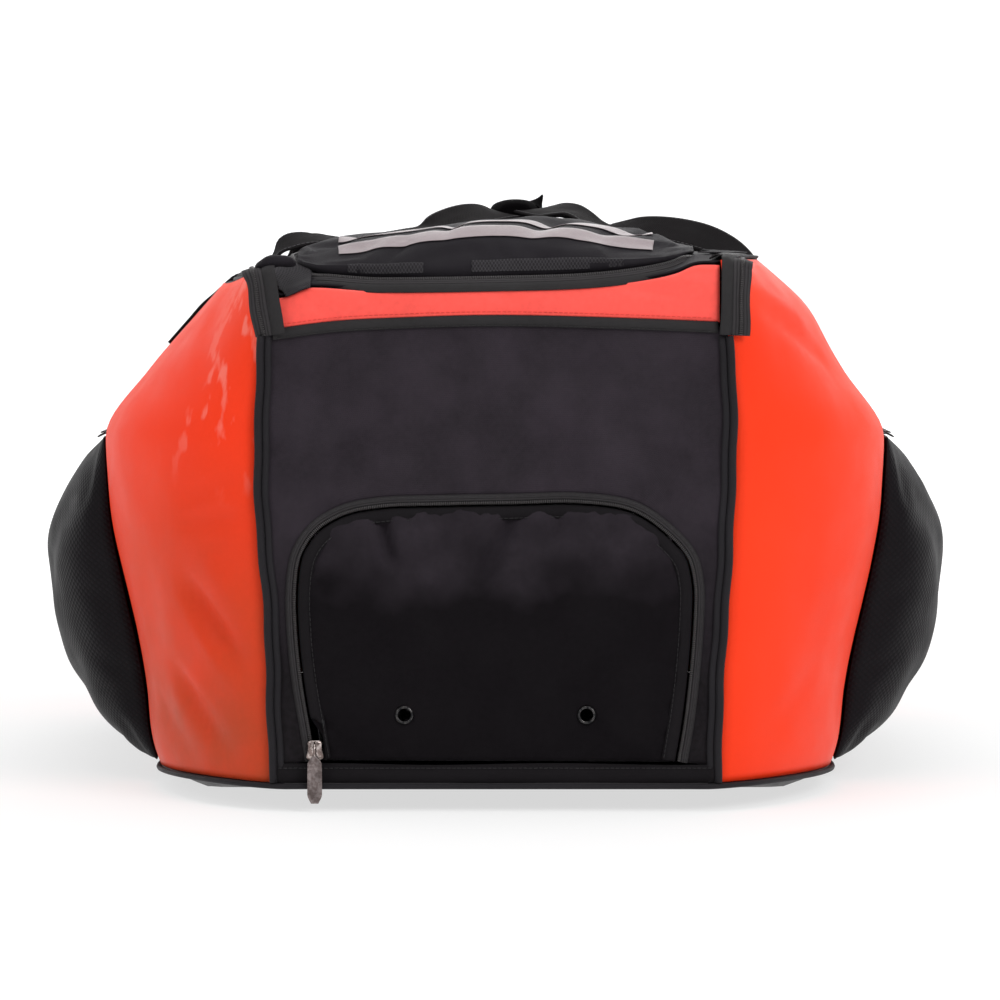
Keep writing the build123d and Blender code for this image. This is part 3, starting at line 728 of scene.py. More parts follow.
print("orange side panels")
panels = dict(thick=0.0016, rows=64, columns=170,
              leftFolds=[(-0.398, 0.152, -0.438, 0.096, -0.0085, 0.0075),
                         (-0.372, 0.088, -0.430, 0.032, -0.0085, 0.0080),
                         (-0.330, 0.070, -0.395, 0.026, -0.0040, 0.0090),
                         (-0.447, 0.222, -0.405, 0.202, -0.0030, 0.0060),
                         (-0.447, 0.196, -0.400, 0.188, -0.0030, 0.0060),
                         (-0.36, 0.335, -0.42, 0.290, -0.0030, 0.0090),
                         (-0.418, 0.170, -0.445, 0.128, 0.0022, 0.0060),
                         (-0.405, 0.122, -0.440, 0.070, 0.0024, 0.0060),
                         (0.400, 0.150, 0.440, 0.098, -0.0030, 0.0100),
                         (0.380, 0.300, 0.435, 0.240, -0.0030, 0.0100)],
              rightFolds=[(-0.335, 0.296, -0.425, 0.338, -0.0045, 0.0080),
                          (-0.35, 0.322, -0.43, 0.352, 0.0030, 0.0070),
                          (-0.370, 0.095, -0.430, 0.040, -0.0018, 0.0090),
                          (0.390, 0.160, 0.440, 0.100, -0.0030, 0.0100)])


def sidePanel(side, lines):
    y = np.linspace(frontY, rearY, panels["columns"])[None, :]
    t = np.linspace(0, 1, panels["rows"])[:, None]
    z = footAt(y) + (rimAt(y, side) - footAt(y)) * t
    y = np.broadcast_to(y, z.shape)
    grid = np.stack([side * wallX(y, z, side), y, z], -1)
    edge = np.minimum(np.sin(np.pi * t)**0.5, 1) * np.minimum(1, (rearY - np.abs(y)) / 0.012)
    normals = gridNormals(grid)
    normals *= np.sign(normals[..., :1] * side)
    ripple = 0.0011 * unevenness(grid, 0.16, 11 + side) + folds(y, z, lines)
    return grid + normals * (edge * ripple)[..., None]


for side, name, lines in ((-1, "left", panels["leftFolds"]), (1, "right", panels["rightFolds"])):
    grid = sidePanel(side, lines)
    sheetOf(name + "_side_cloth", grid, (side, 0, 0), "shell", "orange_tarpaulin", [orangeCoat, orangeBack],
           [name + "_side_panel"], thick=panels["thick"])
    y, z = np.meshgrid(np.linspace(-0.240, 0.240, 60), np.linspace(0.022, 0.2425, 30))
    backing = np.stack([side * (wallX(y, z) + 0.0022), y, z], -1)
    sheetOf(name + "_pocket_back", backing, (side, 0, 0), "shell", "black_polyester", [blackCloth],
            [name + "_pocket_backing"], thick=0.0008)


print("side pockets")
pocket = dict(reach=0.2625, full=0.150, power=0.58, rows=46, columns=72, thick=0.0014, pressure=5.0,
              spare=0.02, cap=0.0035, profile=[(0.2735, 0.2425), (0.284, 0.2375), (0.300, 0.217),
        (0.309, 0.199), (0.3175, 0.180), (0.3205, 0.165), (0.3195, 0.142), (0.317, 0.121), (0.312, 0.100),
        (0.304, 0.075), (0.295, 0.059), (0.278, 0.035), (0.256, 0.0165), (0.2385, 0.0155)])
pocketProfile = evenPath(np.array(pocket["profile"]), pocket["rows"], wide=2)
for side, name in ((-1, "left"), (1, "right")):
    y = np.linspace(-pocket["reach"], pocket["reach"], pocket["columns"])[None, :]
    nearing = np.clip((np.abs(y) - pocket["full"]) / (pocket["reach"] - pocket["full"]), 0, 1)
    swell = np.maximum(1 - nearing**2, 0)**pocket["power"]
    x, z = pocketProfile[:, :1], pocketProfile[:, 1:]
    z = z + 0 * y
    base = wallX(y, z) + 0.0025
    out = base + (x - base) * swell
    grid = np.stack([side * out, y + 0 * z, z], -1)
    normals = gridNormals(grid)
    normals *= np.sign(normals[..., :1] * side)
    grid = settle(grid, edgesOf(z.shape), (side, 0, 0), pocket["pressure"], pocket["spare"], pocket["cap"])
    t = np.linspace(0, 1, pocket["rows"])[:, None]
    calm = np.sin(np.pi * t)**0.6 * np.minimum(1, (pocket["reach"] - np.abs(y)) / 0.02)
    lines = [(-0.235, 0.200, -0.150, 0.120, -0.0035, 0.016), (-0.225, 0.080, -0.140, 0.045, -0.0030, 0.014),
             (0.20, 0.19, 0.12, 0.11, -0.0035, 0.018), (0.02, 0.225, 0.05, 0.150, -0.0025, 0.014),
             (0.23, 0.09, 0.15, 0.05, -0.003, 0.014)]
    ripple = 0.0016 * unevenness(grid, 0.14, 31 + side) + folds(grid[..., 1], grid[..., 2], lines)
    grid = grid + normals * (calm * ripple)[..., None]
    sheetOf(name + "_pocket_cloth", grid, (side, 0, 0), "shell", "black_dobby", [dobbyCloth, backCloth],
            [name + "_pocket_shell"], thick=pocket["thick"], smooth=1)


# a zip's coil: beads set close together along lines
def coil(name, lines, body, wide, high, pitch):
    finish(setAlong(name, lines, beadShape(0.0009, wide, high), pitch), body, "zip_tape", [coilPlastic])


print("front end")
# the closed zip's coil runs over the arch from the hem on the left to the hem on the right
archCoil = evenPath([(-0.1205, 0.034), (-0.1235, 0.052), (-0.1290, 0.085), (-0.1325, 0.119),
                     (-0.1330, 0.150), (-0.1295, 0.171), (-0.1190, 0.187), (-0.1010, 0.198),
                     (-0.0770, 0.2030), (-0.0400, 0.2045), (0.013, 0.2055), (0.057, 0.2060), (0.091, 0.2005),
                     (0.112, 0.1870), (0.1280, 0.169), (0.1325, 0.150), (0.1325, 0.132), (0.1300, 0.095),
                     (0.1260, 0.060), (0.1215, 0.033)], 220, wide=2)
archOut = unit(np.stack([-np.gradient(archCoil[:, 1]), np.gradient(archCoil[:, 0])], 1))
front = dict(
    bulge=0.0050, rows=40, centreZ=0.030, thick=0.0015, outerStrip=0.0050, stripGap=0.0021, innerStrip=0.0092,
    sliderSide=-0.1145, pressure=3.0, spare=0.018, cap=0.0040)


# how far the end stands out: nought at its edges and full in the middle
def endBulge(x, z):
    across = front["bulge"] * np.maximum(0, 1 - (np.abs(x) / 0.152)**2.4)
    return across * np.maximum(0, 1 - (np.abs(z - 0.17) / 0.158)**2.2)


def archLine(offset):
    line = archCoil + archOut * offset
    return np.stack([line[:, 0], frontY - endBulge(line[:, 0], line[:, 1]), line[:, 1]], 1)


def flapLine(line):
    return np.stack([line[:, 0], frontY - endBulge(line[:, 0], line[:, 1]) - 0.0002, line[:, 1]], 1)


# the panel round the arch: rays from the hem's middle through the arch to the panel's own outline
def endOutline(angle):
    way = np.stack([np.cos(angle), np.sin(angle)], -1)
    low, high = np.full(angle.shape, 0.05), np.full(angle.shape, 0.5)
    for halving in range(40):
        middle = (low + high) / 2
        x, z = way[..., 0] * middle, front["centreZ"] + way[..., 1] * middle
        inside = (np.abs(x) < through(bag["endHalf"], z) - 0.0005) & (z < bandFoot(x) - 0.003)
        low, high = np.where(inside, middle, low), np.where(inside, high, middle)
    return way * low[..., None] + np.array([0, front["centreZ"]])


ring = archLine(front["outerStrip"] - 0.001)
angles = np.arctan2(ring[:, 2] - front["centreZ"], ring[:, 0])
angles[0], angles[-1] = math.pi, 0.0
cornerAngles = [math.atan2(0.3225 - front["centreZ"], x) for x in (-0.1535, 0.1535)]
for corner in cornerAngles:
    angles[np.argmin(np.abs(angles - corner))] = corner
outline = endOutline(angles)
t = (np.linspace(0, 1, front["rows"])**0.9)[:, None, None]
flatRing = ring[:, [0, 2]][None] * (1 - t) + outline[None] * t
x, z = flatRing[..., 0], flatRing[..., 1]
puckers = folds(x, z, [(-0.10, 0.245, -0.142, 0.205, -0.0032, 0.010),
                       (0.05, 0.300, 0.10, 0.225, -0.0018, 0.012),
                       (-0.02, 0.300, -0.06, 0.225, -0.0016, 0.012),
                       (0.120, 0.215, 0.150, 0.255, -0.0022, 0.009),
                       (-0.146, 0.12, -0.138, 0.05, -0.0012, 0.005)])
calm = np.sin(np.pi * t[..., 0])**0.6
grid = np.stack([x, frontY - endBulge(x, z), z], -1)
grid[..., 1] -= calm * (puckers + 0.0007 * unevenness(grid, 0.09, 5))
sheetOf("front_end_cloth", grid, (0, -1, 0), "shell", "black_polyester", [blackCloth, liningCloth],
        ["front_end_panel"], thick=front["thick"])

x = np.linspace(-0.147, 0.147, 90)
hemTop, hemFoot = 0.0315 + 0.0006 * np.sin(x * 40), 0.0162 + 0.0008 * np.sin(x * 55 + 1) + 0.0004 * np.sin(x
        * 190)
hem = stripBetween(np.stack([x, np.full_like(x, frontY - 0.0018), hemTop], 1),
                   np.stack([x, np.full_like(x, frontY - 0.0010), hemFoot], 1), 8, 0.0016, (0, -1, 0))
sheetOf("end_hem_strip", hem, (0, -1, 0), "shell", "grey_binding", [foldCloth, backCloth],
        ["end_pocket_hem"], thick=0.0012)

outer = stripBetween(archLine(0.0010) - (0, 0.0006, 0),
                     archLine(front["outerStrip"] + 0.0012) - (0, 0.0010, 0), 6, 0.0011, (0, -1, 0))
sheetOf("end_zip_cover", outer, (0, -1, 0), "shell", "black_polyester", [tapeCloth, backCloth],
        ["end_pocket_zip_tape"], thick=0.0009)
coilPath = archLine(0.0004) - (0, 0.0018, 0)
coil("end_zip_coil", [(coilPath, (0, -1, 0))], "shell", 0.0028, 0.0013, 0.00125)


print("skate pocket flap")
# the flap's edge follows the coil just inside it, and keeps clear of the parked slider at the foot
edge = archCoil - archOut * front["stripGap"]
clear = front["sliderSide"] + (edge[:, 0] - front["sliderSide"]) * ease(edge[:, 1], 0.046, 0.064)
edge[:, 0] = np.maximum(edge[:, 0], np.where(edge[:, 1] < 0.064, clear, -1))
leftTop, rightTop = 62, len(edge) - 63
left, top, right = flapLine(edge[:leftTop + 1]), flapLine(edge[leftTop:rightTop
        + 1]), flapLine(edge[rightTop:][::-1])
foot = np.linspace(left[0], right[0], len(top))
foot[:, 1] = frontY - endBulge(foot[:, 0], foot[:, 2]) - 0.0002
grid = patchBetween(foot, top, left, right)
x, z = grid[..., 0], grid[..., 2]
s, t = np.linspace(0, 1, grid.shape[0])[:, None], np.linspace(0, 1, grid.shape[1])[None, :]
rim = np.minimum(np.minimum(s * 8, (1 - s) * 12), np.minimum(t * 12, (1 - t) * 12))
calm = np.clip(rim, 0, 1)
gathers = 1.5 * folds(x, z, [(-0.078, 0.206, -0.066, 0.160, -0.0062, 0.0045),
                             (-0.050, 0.206, -0.040, 0.172, 0.0020, 0.006),
                             (0.016, 0.206, -0.012, 0.150, -0.0050, 0.0060),
                             (0.042, 0.206, 0.036, 0.178, -0.0030, 0.0045),
                             (-0.02, 0.20, -0.03, 0.17, 0.0022, 0.008),
                             (0.075, 0.192, 0.060, 0.160, -0.0018, 0.006),
                             (-0.098, 0.192, -0.075, 0.155, -0.0016, 0.006),
                             (0.085, 0.105, 0.05, 0.075, -0.0022, 0.008),
                             (0.07, 0.062, 0.105, 0.036, 0.0018, 0.006),
                             (0.020, 0.185, 0.050, 0.120, 0.0020, 0.012),
                             (-0.05, 0.130, 0.01, 0.118, -0.0015, 0.012)])
swell = 0.0060 * np.maximum(0, 1 - (np.abs(x) / 0.125)**3)
swell = swell * np.maximum(0, 1 - ((z - 0.150) / 0.11)**2)
grid[..., 1] -= calm * (gathers + swell + 0.0007 * unevenness(grid, 0.06, 8))
flapGrid = settle(grid, edgesOf(grid.shape[:2]), (0, -1, 0), front["pressure"], front["spare"], front["cap"])
flapGrid[..., 1] = np.maximum(flapGrid[..., 1], frontY - 0.0150)


# where the flap's cloth is, at a place on the end: the nearest of its points
def onFlap(x, z):
    flat = flapGrid.reshape(-1, 3)
    near = np.argmin((flat[:, 0] - x)**2 + (flat[:, 2] - z)**2)
    return flat[near]


# eyelets: a rolled ring with a waist through the cloth, one profile turned about each hole
eyelet = dict(hole=0.0048, profile=[(0.0042, 0.0022), (0.0040, 0.0004), (0.0043, -0.0011), (0.0050, -0.0016),
        (0.0058, -0.0012), (0.0064, -0.0002), (0.0060, 0.0003), (0.0052, 0.0006), (0.0050, 0.0022)])
eyeletLow, eyeletHigh = boxOf("flap_eyelets")
eyeletZ = (eyeletLow[2] + eyeletHigh[2]) / 2
eyeletX = eyeletHigh[0] - (eyeletHigh[2] - eyeletLow[2]) / 2


# faces within the two holes are left out; the reach is the same on both sides of the middle
def holed(middle):
    return np.hypot(np.abs(middle[:, 0]) - eyeletX, middle[:, 2] - eyeletZ) < eyelet["hole"]


finish(gridPiece("skate_flap_cloth", flapGrid, (0, -1, 0), skip=holed), "end_flap", "black_polyester",
       [flapCloth, liningCloth], ["end_pocket_flap"], thick=0.0014)

inner = stripBetween(flapLine(edge) - (0, 0.0012, 0),
                     flapLine(archCoil - archOut * (front["stripGap"] + front["innerStrip"])) - (0, 0.0016,
        0), 8, 0.0014, (0, -1, 0))
inner[..., 0] = np.maximum(inner[..., 0], np.where(inner[..., 2] < 0.06, front["sliderSide"], -1))
sheetOf("skate_flap_fold", inner, (0, -1, 0), "end_flap", "zip_tape", [foldCloth, backCloth],
        ["end_pocket_flap_tape"], thick=0.0009)

ringProfile = np.array(eyelet["profile"])
turn = np.linspace(0, 2 * np.pi, 33)[:-1]
for name, x in (("left_eyelet", -eyeletX), ("right_eyelet", eyeletX)):
    centre = np.array([x, onFlap(x, eyeletZ)[1], eyeletZ])
    points = centre + np.stack([np.cos(turn)[:, None] * ringProfile[None, :, 0],
            np.broadcast_to(ringProfile[None, :, 1], (32, len(ringProfile))),
            np.sin(turn)[:, None] * ringProfile[None, :, 0]], -1)
    finish(gridPiece(name, points, loopRows=True, loopCols=True), "end_flap", "gunmetal", [gunmetal],
           ["flap_eyelets"] if x < 0 else [])

print("skate pocket liner")
linerLow, linerHigh = boxOf("end_pocket_liner")
arch = archCoil * (0.955, 0.985)
depth = np.linspace(0, 1, 18)
shrink = np.sqrt(np.maximum(1 - np.clip((depth - 0.75) / 0.25, 0, 1)**2, 0)) * 0.96 + 0.04
centre = np.array([0, 0.10])
x = (arch[None, :, 0] - centre[0]) * shrink[:, None] + centre[0]
z = np.maximum((arch[None, :, 1] - centre[1]) * shrink[:, None] + centre[1], linerLow[2] + 0.004)
y = np.broadcast_to((frontY + 0.004 + depth * (linerHigh[1] - frontY - 0.005))[:, None], x.shape)
tunnel = np.stack([x, y, z], -1)
away = unit(tunnel - np.array([0, 0, 0.1]))[1:-1]
tunnel[1:-1] += (0.002 * unevenness(tunnel, 0.05, 3))[1:-1, :, None] * away
finish(gridPiece("skate_liner", tunnel, unit(tunnel - np.array([0, -0.30, 0.10])) * (1, 0.3, 1),
                 loopCols=True), "shell", "lining", [liningCloth], ["end_pocket_liner"], thick=0.0008)


print("coral bands and bindings")
bands = dict(halfFront=0.1485, halfRear=0.150, bindingWidth=0.0075, thick=0.0014, lean=0.0012)
x = np.linspace(-bands["halfFront"], bands["halfFront"], 110)
t = np.linspace(0, 1, 12)[:, None]
z = bandFoot(x) + (bandTop(x) + 0.0015 - bandFoot(x)) * t
across = np.broadcast_to(x, z.shape)
creases = folds(across, z, [(-0.125, 0.342, -0.105, 0.326, -0.0012, 0.004),
                            (0.085, 0.348, 0.145, 0.338, -0.0010, 0.003),
                            (0.105, 0.354, 0.148, 0.350, 0.0010, 0.003),
                            (-0.09, 0.342, -0.06, 0.330, -0.0008, 0.004),
                            (0.0, 0.344, 0.03, 0.331, -0.0007, 0.005)])
bow = np.sin(np.pi * t)
ripple = 0.0006 * unevenness(np.stack([across, z * 0, z], -1), 0.07, 17)
y = frontY - 0.0010 + bands["lean"] * t - 0.0012 * bow - creases - ripple * bow
sheetOf("front_band_satin", np.stack([across, y, z], -1), (0, -1, 0), "shell", "coral_satin",
        [coralSatin, backCloth], ["front_band"], thick=bands["thick"])
x = np.linspace(-bands["halfRear"], bands["halfRear"], 60)
z = 0.3265 + (rimZ + 0.0010 - 0.3265) * t + 0 * x
y = rearY + 0.0008 + 0.0012 * bow + 0 * x
sheetOf("rear_band_satin", np.stack([x + 0 * z, y, z], -1), (0, 1, 0), "shell", "coral_satin",
       [coralSatin, backCloth], ["rear_band"], thick=bands["thick"])

x = np.linspace(-0.1475, 0.1475, 90)
top = np.stack([x, np.full_like(x, frontY - 0.0016), bandFoot(x) + 0.0004], 1)
strip = stripBetween(top, top - (0, 0.0004, bands["bindingWidth"]), 6, 0.0009, (0, -1, 0))
sheetOf("front_band_tape", strip, (0, -1, 0), "shell", "grey_binding", [bindingCloth, backCloth],
        ["front_band_binding"], thick=0.001)
top = np.stack([x, np.full_like(x, rearY + 0.0016), np.full_like(x, 0.3270)], 1)
strip = stripBetween(top, top - (0, -0.0004, bands["bindingWidth"]), 6, 0.0009, (0, 1, 0))
sheetOf("rear_band_tape", strip, (0, 1, 0), "shell", "grey_binding", [bindingCloth, backCloth],
        ["rear_band_binding"], thick=0.001)

print("rear end")
x, z = np.linspace(-1, 1, 70)[None, :], np.linspace(0.0165, 0.3270, 60)[:, None]
wide = (through(bag["endHalf"], z) - 0.0005) * x
push = 0.006 * np.maximum(0, 1 - (np.abs(wide) / 0.154)**2.4)
push = push * np.maximum(0, 1 - (np.abs(z - 0.17) / 0.156)**2.2)
grid = np.stack([wide, rearY + push + 0 * z, z + 0 * x], -1)
calm = np.minimum(1, push / 0.0015)
creases = folds(wide, z + 0 * x, [
    (-0.12, 0.30, -0.05, 0.20, -0.003, 0.012), (0.11, 0.10, 0.04, 0.04, -0.003, 0.014),
    (0.13, 0.29, 0.08, 0.22, -0.002, 0.010)])
grid[..., 1] += calm * (0.0012 * unevenness(grid, 0.12, 21) + creases)
sheetOf("rear_end_cloth", grid, (0, 1, 0), "shell", "black_polyester", [blackCloth, liningCloth],
        ["rear_end_panel"], thick=front["thick"])

print("piping and base")
piping = dict(radius=0.0026, flat=0.0052, baseRadius=0.0019)
cordSection = ovalSection(2 * piping["radius"], 2 * piping["radius"], 10)
for name, side, end in (("front_left", -1, -1), ("front_right", 1, -1), ("rear_left", -1, 1),
                        ("rear_right", 1, 1)):
    z = np.linspace(0.0190, 0.3160, 60)
    wobble = 0.0006 * np.sin(z * 46 + side) + 0.0004 * np.sin(z * 130 + end)
    half = through(bag["endHalf"], z) + wobble
    path = np.stack([side * half, np.full_like(z, end * (rearY + 0.0020)), z], 1)
    finish(carry(name + "_cord", path, (0, end, 0), cordSection), "shell", "piping", [pipingCloth],
           [name + "_piping"])
    inner = np.stack([side * (half - 0.0022), np.full_like(z, end * (rearY + 0.0016)), z], 1)
    strip = stripBetween(inner, inner - (side * piping["flat"], -end * 0.0002, 0), 5, 0.0008, (0, end, 0))
    sheetOf(name + "_cord_tape", strip, (0, end, 0), "shell", "piping", [pipingCloth], thick=0.0008)


# outline of the base in plan: the walls' foot, rounded at the four corners
def baseHalf(y):
    return wallX(y, footAt(y) + 0.0005)


base = dict(lowest=0.0016, curl=0.046, underCord=0.0045, cordOut=1.004, cordDrop=0.0022)
y = np.linspace(0.004 - rearY, rearY - 0.004, 90)
left = np.stack([-baseHalf(y), y, footAt(y)], 1)
ends = np.linspace(-0.142, 0.142, 24)
rear = np.stack([ends, np.full(24, rearY + 0.0030), footAt(np.full(24, rearY))], 1)
loop = np.vstack([left[::2], rear, (left * (-1, 1, 1))[::-2], (rear * (-1, -1, 1))])
loop[:, :2] *= base["cordOut"]
loop = evenPath(loop, 420, closed=True)
loop[:, 2] -= base["cordDrop"]
finish(carry("base_cord", loop, (0, 0, 1),
             ovalSection(2 * piping["baseRadius"], 2 * piping["baseRadius"], 8), closed=True), "shell",
       "piping", [pipingCloth], ["base_piping"])

u, y = np.linspace(-1, 1, 64)[None, :], np.linspace(-rearY, rearY, 120)[:, None]
half = baseHalf(y) - 0.0005
x = u * half
gap = np.minimum(half - np.abs(x), rearY - np.abs(y) + 0 * x)
rise = (1 - np.clip(gap / base["curl"], 0, 1))**2.2
z = base["lowest"] + (footAt(y) - 0.0030) * rise
tilt = np.clip((np.abs(y) - 0.295) / 0.155, 0, 1)
z = np.maximum(z, (footAt(y) - base["cordDrop"]) * tilt)
# at both ends the cloth reaches out under the cord, except at the corners
outwards = np.sign(y) * ease(np.abs(y), rearY - 0.006, rearY) * base["underCord"] * ease(np.abs(u), 0.99,
        0.93)
grid = np.stack([x, y + outwards, z], -1)
grid[..., 2] += 0.0005 * (unevenness(grid, 0.10, 41) + 1.5) * ease(rise, 0.0,
        0.2) * (1 - ease(rise, 0.7, 1.0))
grid[..., 2] = np.maximum(grid[..., 2], base["lowest"])
sheetOf("base_cloth", grid, (0, 0, -1), "shell", "base_fabric", [baseCoat, liningCloth], ["base_panel"],
        thick=0.0014)

print("main zip")
mainZip = dict(cornerRound=0.030)


# the rim's line from the front left corner back, across the rear and forward again,
# out from the wall and at a height over the rim
def rimLine(out, height, along=220, start=-0.437):
    y = np.linspace(start, rearY - mainZip["cornerRound"], 70)
    lines = []
    for side in (-1, 1):
        z = rimAt(y, side) + height
        lines.append(np.stack([side * (wallX(y, z, side) + out), y, z], 1))
    angle = np.linspace(0, np.pi / 2, 9)[1:-1]
    endX = wallX(rearY - mainZip["cornerRound"], rimZ) + out
    turnX, turnY = mainZip["cornerRound"], mainZip["cornerRound"] + out
    corner = np.stack([endX - turnX * (1 - np.cos(angle)),
                       rearY - mainZip["cornerRound"] + turnY * np.sin(angle), np.full(7, rimZ + height)], 1)
    across = np.stack([np.linspace(1, -1, 30)[1:-1] * (endX - turnX), np.full(28, rearY + out),
                       np.full(28, rimZ + height)], 1)
    whole = np.vstack([lines[0], (corner * (-1, 1, 1)), across * (-1, 1, 1), corner[::-1], lines[1][::-1]])
    return evenPath(whole, along)


# the way the zip faces: out from the sides, and out from the rear past the corners
def outward(line):
    rearwards = np.where(line[:, 1] > 0.40, (line[:, 1] - 0.40) / 0.02, 0.0)
    return unit(np.stack([line[:, 0] / 0.19, rearwards, np.full(len(line), 0.25)], 1))


low, high = rimLine(-0.0008, -0.0012), rimLine(-0.0046, 0.0016)
tape = stripBetween(high, low, 7, 0.0006)
sheetOf("main_zip_lower", tape, outward(high)[:, None], "shell", "zip_tape", [tapeCloth, tapeCloth],
        ["lid_zip_lower_tape"], thick=0.0010)
coilLine = rimLine(-0.0052, 0.0026, 700)
coil("main_zip_coil", [(coilLine, outward(coilLine))], "shell", 0.0036, 0.0014, 0.0016)

print("lid")
# the upper tape follows the rim and folds over onto the lid
low = rimLine(-0.0056, 0.0032)
inset = rimLine(-0.0150, 0.0)
high = np.stack([inset[:, 0], np.minimum(inset[:, 1], rearY - 0.015), 0 * inset[:, 0]], 1)
high[:, 2] = lidZ(high[:, 0], high[:, 1]) + 0.0012
tape = stripBetween(low, high, 8, 0.0016, (0, 0, 1))
sheetOf("main_zip_upper", tape, (outward(low) + (0, 0, 0.5))[:, None], "lid", "zip_tape",
        [tapeCloth, tapeCloth], ["lid_zip_upper_tape"], thick=0.0009)

y = np.linspace(frontY + 0.0030, rearY - 0.0005, 150)[:, None]
u = np.linspace(-1, 1, 96)[None, :]
x = u * (lidHalf(y) - 0.0005) * (1 - 0.03 * ease(np.abs(y), 0.43, 0.45))
grid = np.stack([x, y + 0 * x, lidZ(x, y)], -1)
calm = (1 - np.abs(u)**6) * np.minimum(1, (rearY - np.abs(y)) / 0.03)
creases = folds(x, y + 0 * x, [
    (-0.10, 0.05, 0.06, 0.16, -0.0035, 0.018), (0.12, 0.10, 0.02, 0.26, -0.0030, 0.016),
    (-0.14, 0.20, -0.05, 0.33, -0.0030, 0.016), (0.05, 0.30, 0.13, 0.37, -0.0028, 0.014)])
grid[..., 2] += calm * (0.0012 * unevenness(grid, 0.15, 51) + creases)
sheetOf("lid_cloth", grid, (0, 0, 1), "lid", "lid_fabric", [lidCloth, liningCloth], ["lid_panel"],
        thick=0.0016)

meshes = dict(inner=0.1445, corner=0.1225, outerGap=0.0085, rear=-0.055)
for side, name in ((-1, "left"), (1, "right")):
    y = np.linspace(frontY + 0.0010 if side < 0 else -0.405, meshes["rear"], 90)[:, None]
    t = np.linspace(0, 1, 16)[None, :]
    # the vent widens inwards at the front corner
    inner = meshes["corner"] + (meshes["inner"] - meshes["corner"]) * ease(y, -0.425, -0.39)
    x = side * (inner + (np.maximum(lidHalf(y) - meshes["outerGap"], inner + 0.010) - inner) * t)
    z = lidZ(x, y) + 0.0011
    grid = np.stack([x, y + 0 * x, z], -1)
    if side < 0:
        grid[0, :, 1], grid[0, :, 2] = frontY - 0.0032, grid[0, :, 2] - 0.0035
    sheetOf(name + "_vent", grid, (0, 0, 1), "lid", "vent_mesh", [ventNet, backCloth], ["lid_mesh_" + name],
            thick=0.0008, offset=1.0)

# the left vent's front corner is rolled up on itself
roll = evenPath([(-0.1575, frontY + 0.0180, 0.3600), (-0.1530, frontY + 0.0100, 0.3635),
                 (-0.1470, frontY + 0.0070, 0.3655), (-0.1400, frontY + 0.0085, 0.3655),
                 (-0.1345, frontY + 0.0140, 0.3640)], 30)
rollSize = 0.35 + 0.65 * np.sin(np.pi * np.linspace(0.04, 0.96,
        30))**0.5 * (1 + 0.10 * np.sin(np.linspace(0, 17, 30)))
finish(carry("left_vent_roll", roll, (0, 0, 1), ovalSection(0.0105, 0.0085, 16), size=rollSize), "lid",
       "vent_mesh", [lidCloth])

# a strip of cloth joins the band to the lid's front edge
x = np.linspace(-0.146, 0.146, 70)
foot = np.stack([x, np.full_like(x, frontY + 0.0014), bandTop(x) - 0.0045], 1)
head = np.stack([x, np.full_like(x, frontY + 0.0044), bandTop(x) + 0.0022], 1)
joining = gridPiece("lid_hinge_cloth", stripBetween(foot, head, 8), (0, -1, 0))
joining.data.materials.append(lidCloth)
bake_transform(joining)

print("zip ends over the front corners")
zipEnd = dict(left=dict(top=0.3590, tape=0.0128, binding=0.0090,
                        lean=[(0.1475, 0.3165), (0.1490, 0.3270), (0.1510, 0.3380), (0.1532, 0.3520),
                              (0.1545, 0.3580)]), right=dict(top=0.3650, tape=0.0134, binding=0.0078,
        lean=[(0.1556, 0.3165), (0.1562, 0.3270), (0.1566, 0.3380), (0.1568, 0.3560), (0.1570, 0.3640)]))
for side, name in ((-1, "left"), (1, "right")):
    ending = zipEnd[name]
    lift, lean = ending["top"], ending["lean"]
    y = [frontY - 0.0030, frontY - 0.0034, frontY - 0.0034, frontY - 0.0024, frontY + 0.0010]
    spine = [(x, at, z) for (x, z), at in zip(lean, y)]
    spine += [(lean[-1][0] + 0.001, frontY + 0.010, lift + 0.0020),
              (lean[-1][0] + 0.002, frontY + 0.024, lift + 0.0025)]
    spine = evenPath(np.array(spine) * (side, 1, 1), 44)
    backwards = -1 + 1.3 * ease(spine[:, 1], frontY - 0.003, frontY + 0.010)
    upwards = 0.1 + 1.6 * ease(spine[:, 1], frontY - 0.003, frontY + 0.008)
    facing = unit(np.stack([np.full(len(spine), side * 0.35), backwards, upwards], 1))
    sideways = unit(np.cross(np.gradient(spine, axis=0), facing))
    sideways *= np.sign(sideways[:, :1] * side)
    wavy = 0.0007 * np.sin(np.linspace(0, 11, 44) + side)[:, None]
    near, far = spine - sideways * 0.0022, spine + sideways * (ending["tape"] + wavy)
    far[:, 1] = np.minimum(far[:, 1], frontY + 0.020)
    grid = stripBetween(near, far, 9, 0.0008, (0, -1, 0.4))
    sheetOf(name + "_zip_end", grid, facing[:, None], "shell", "zip_tape", [tapeCloth, backCloth],
            ["front_" + name + "_zip_end"], thick=0.0011)
    middle = (near * 0.45 + far * 0.55) + facing * 0.0013
    coil(name + "_zip_end_coil", [(middle, facing)], "shell", 0.0034, 0.0013, 0.0014)
    near = spine - sideways * 0.0002 + facing * 0.0008
    grid = stripBetween(near, near - sideways * ending["binding"], 7, 0.0012, (0, -1, 0.4))
    sheetOf(name + "_zip_end_binding", grid, facing[:, None], "shell", "grey_binding",
            [bindingCloth, backCloth], thick=0.0012)

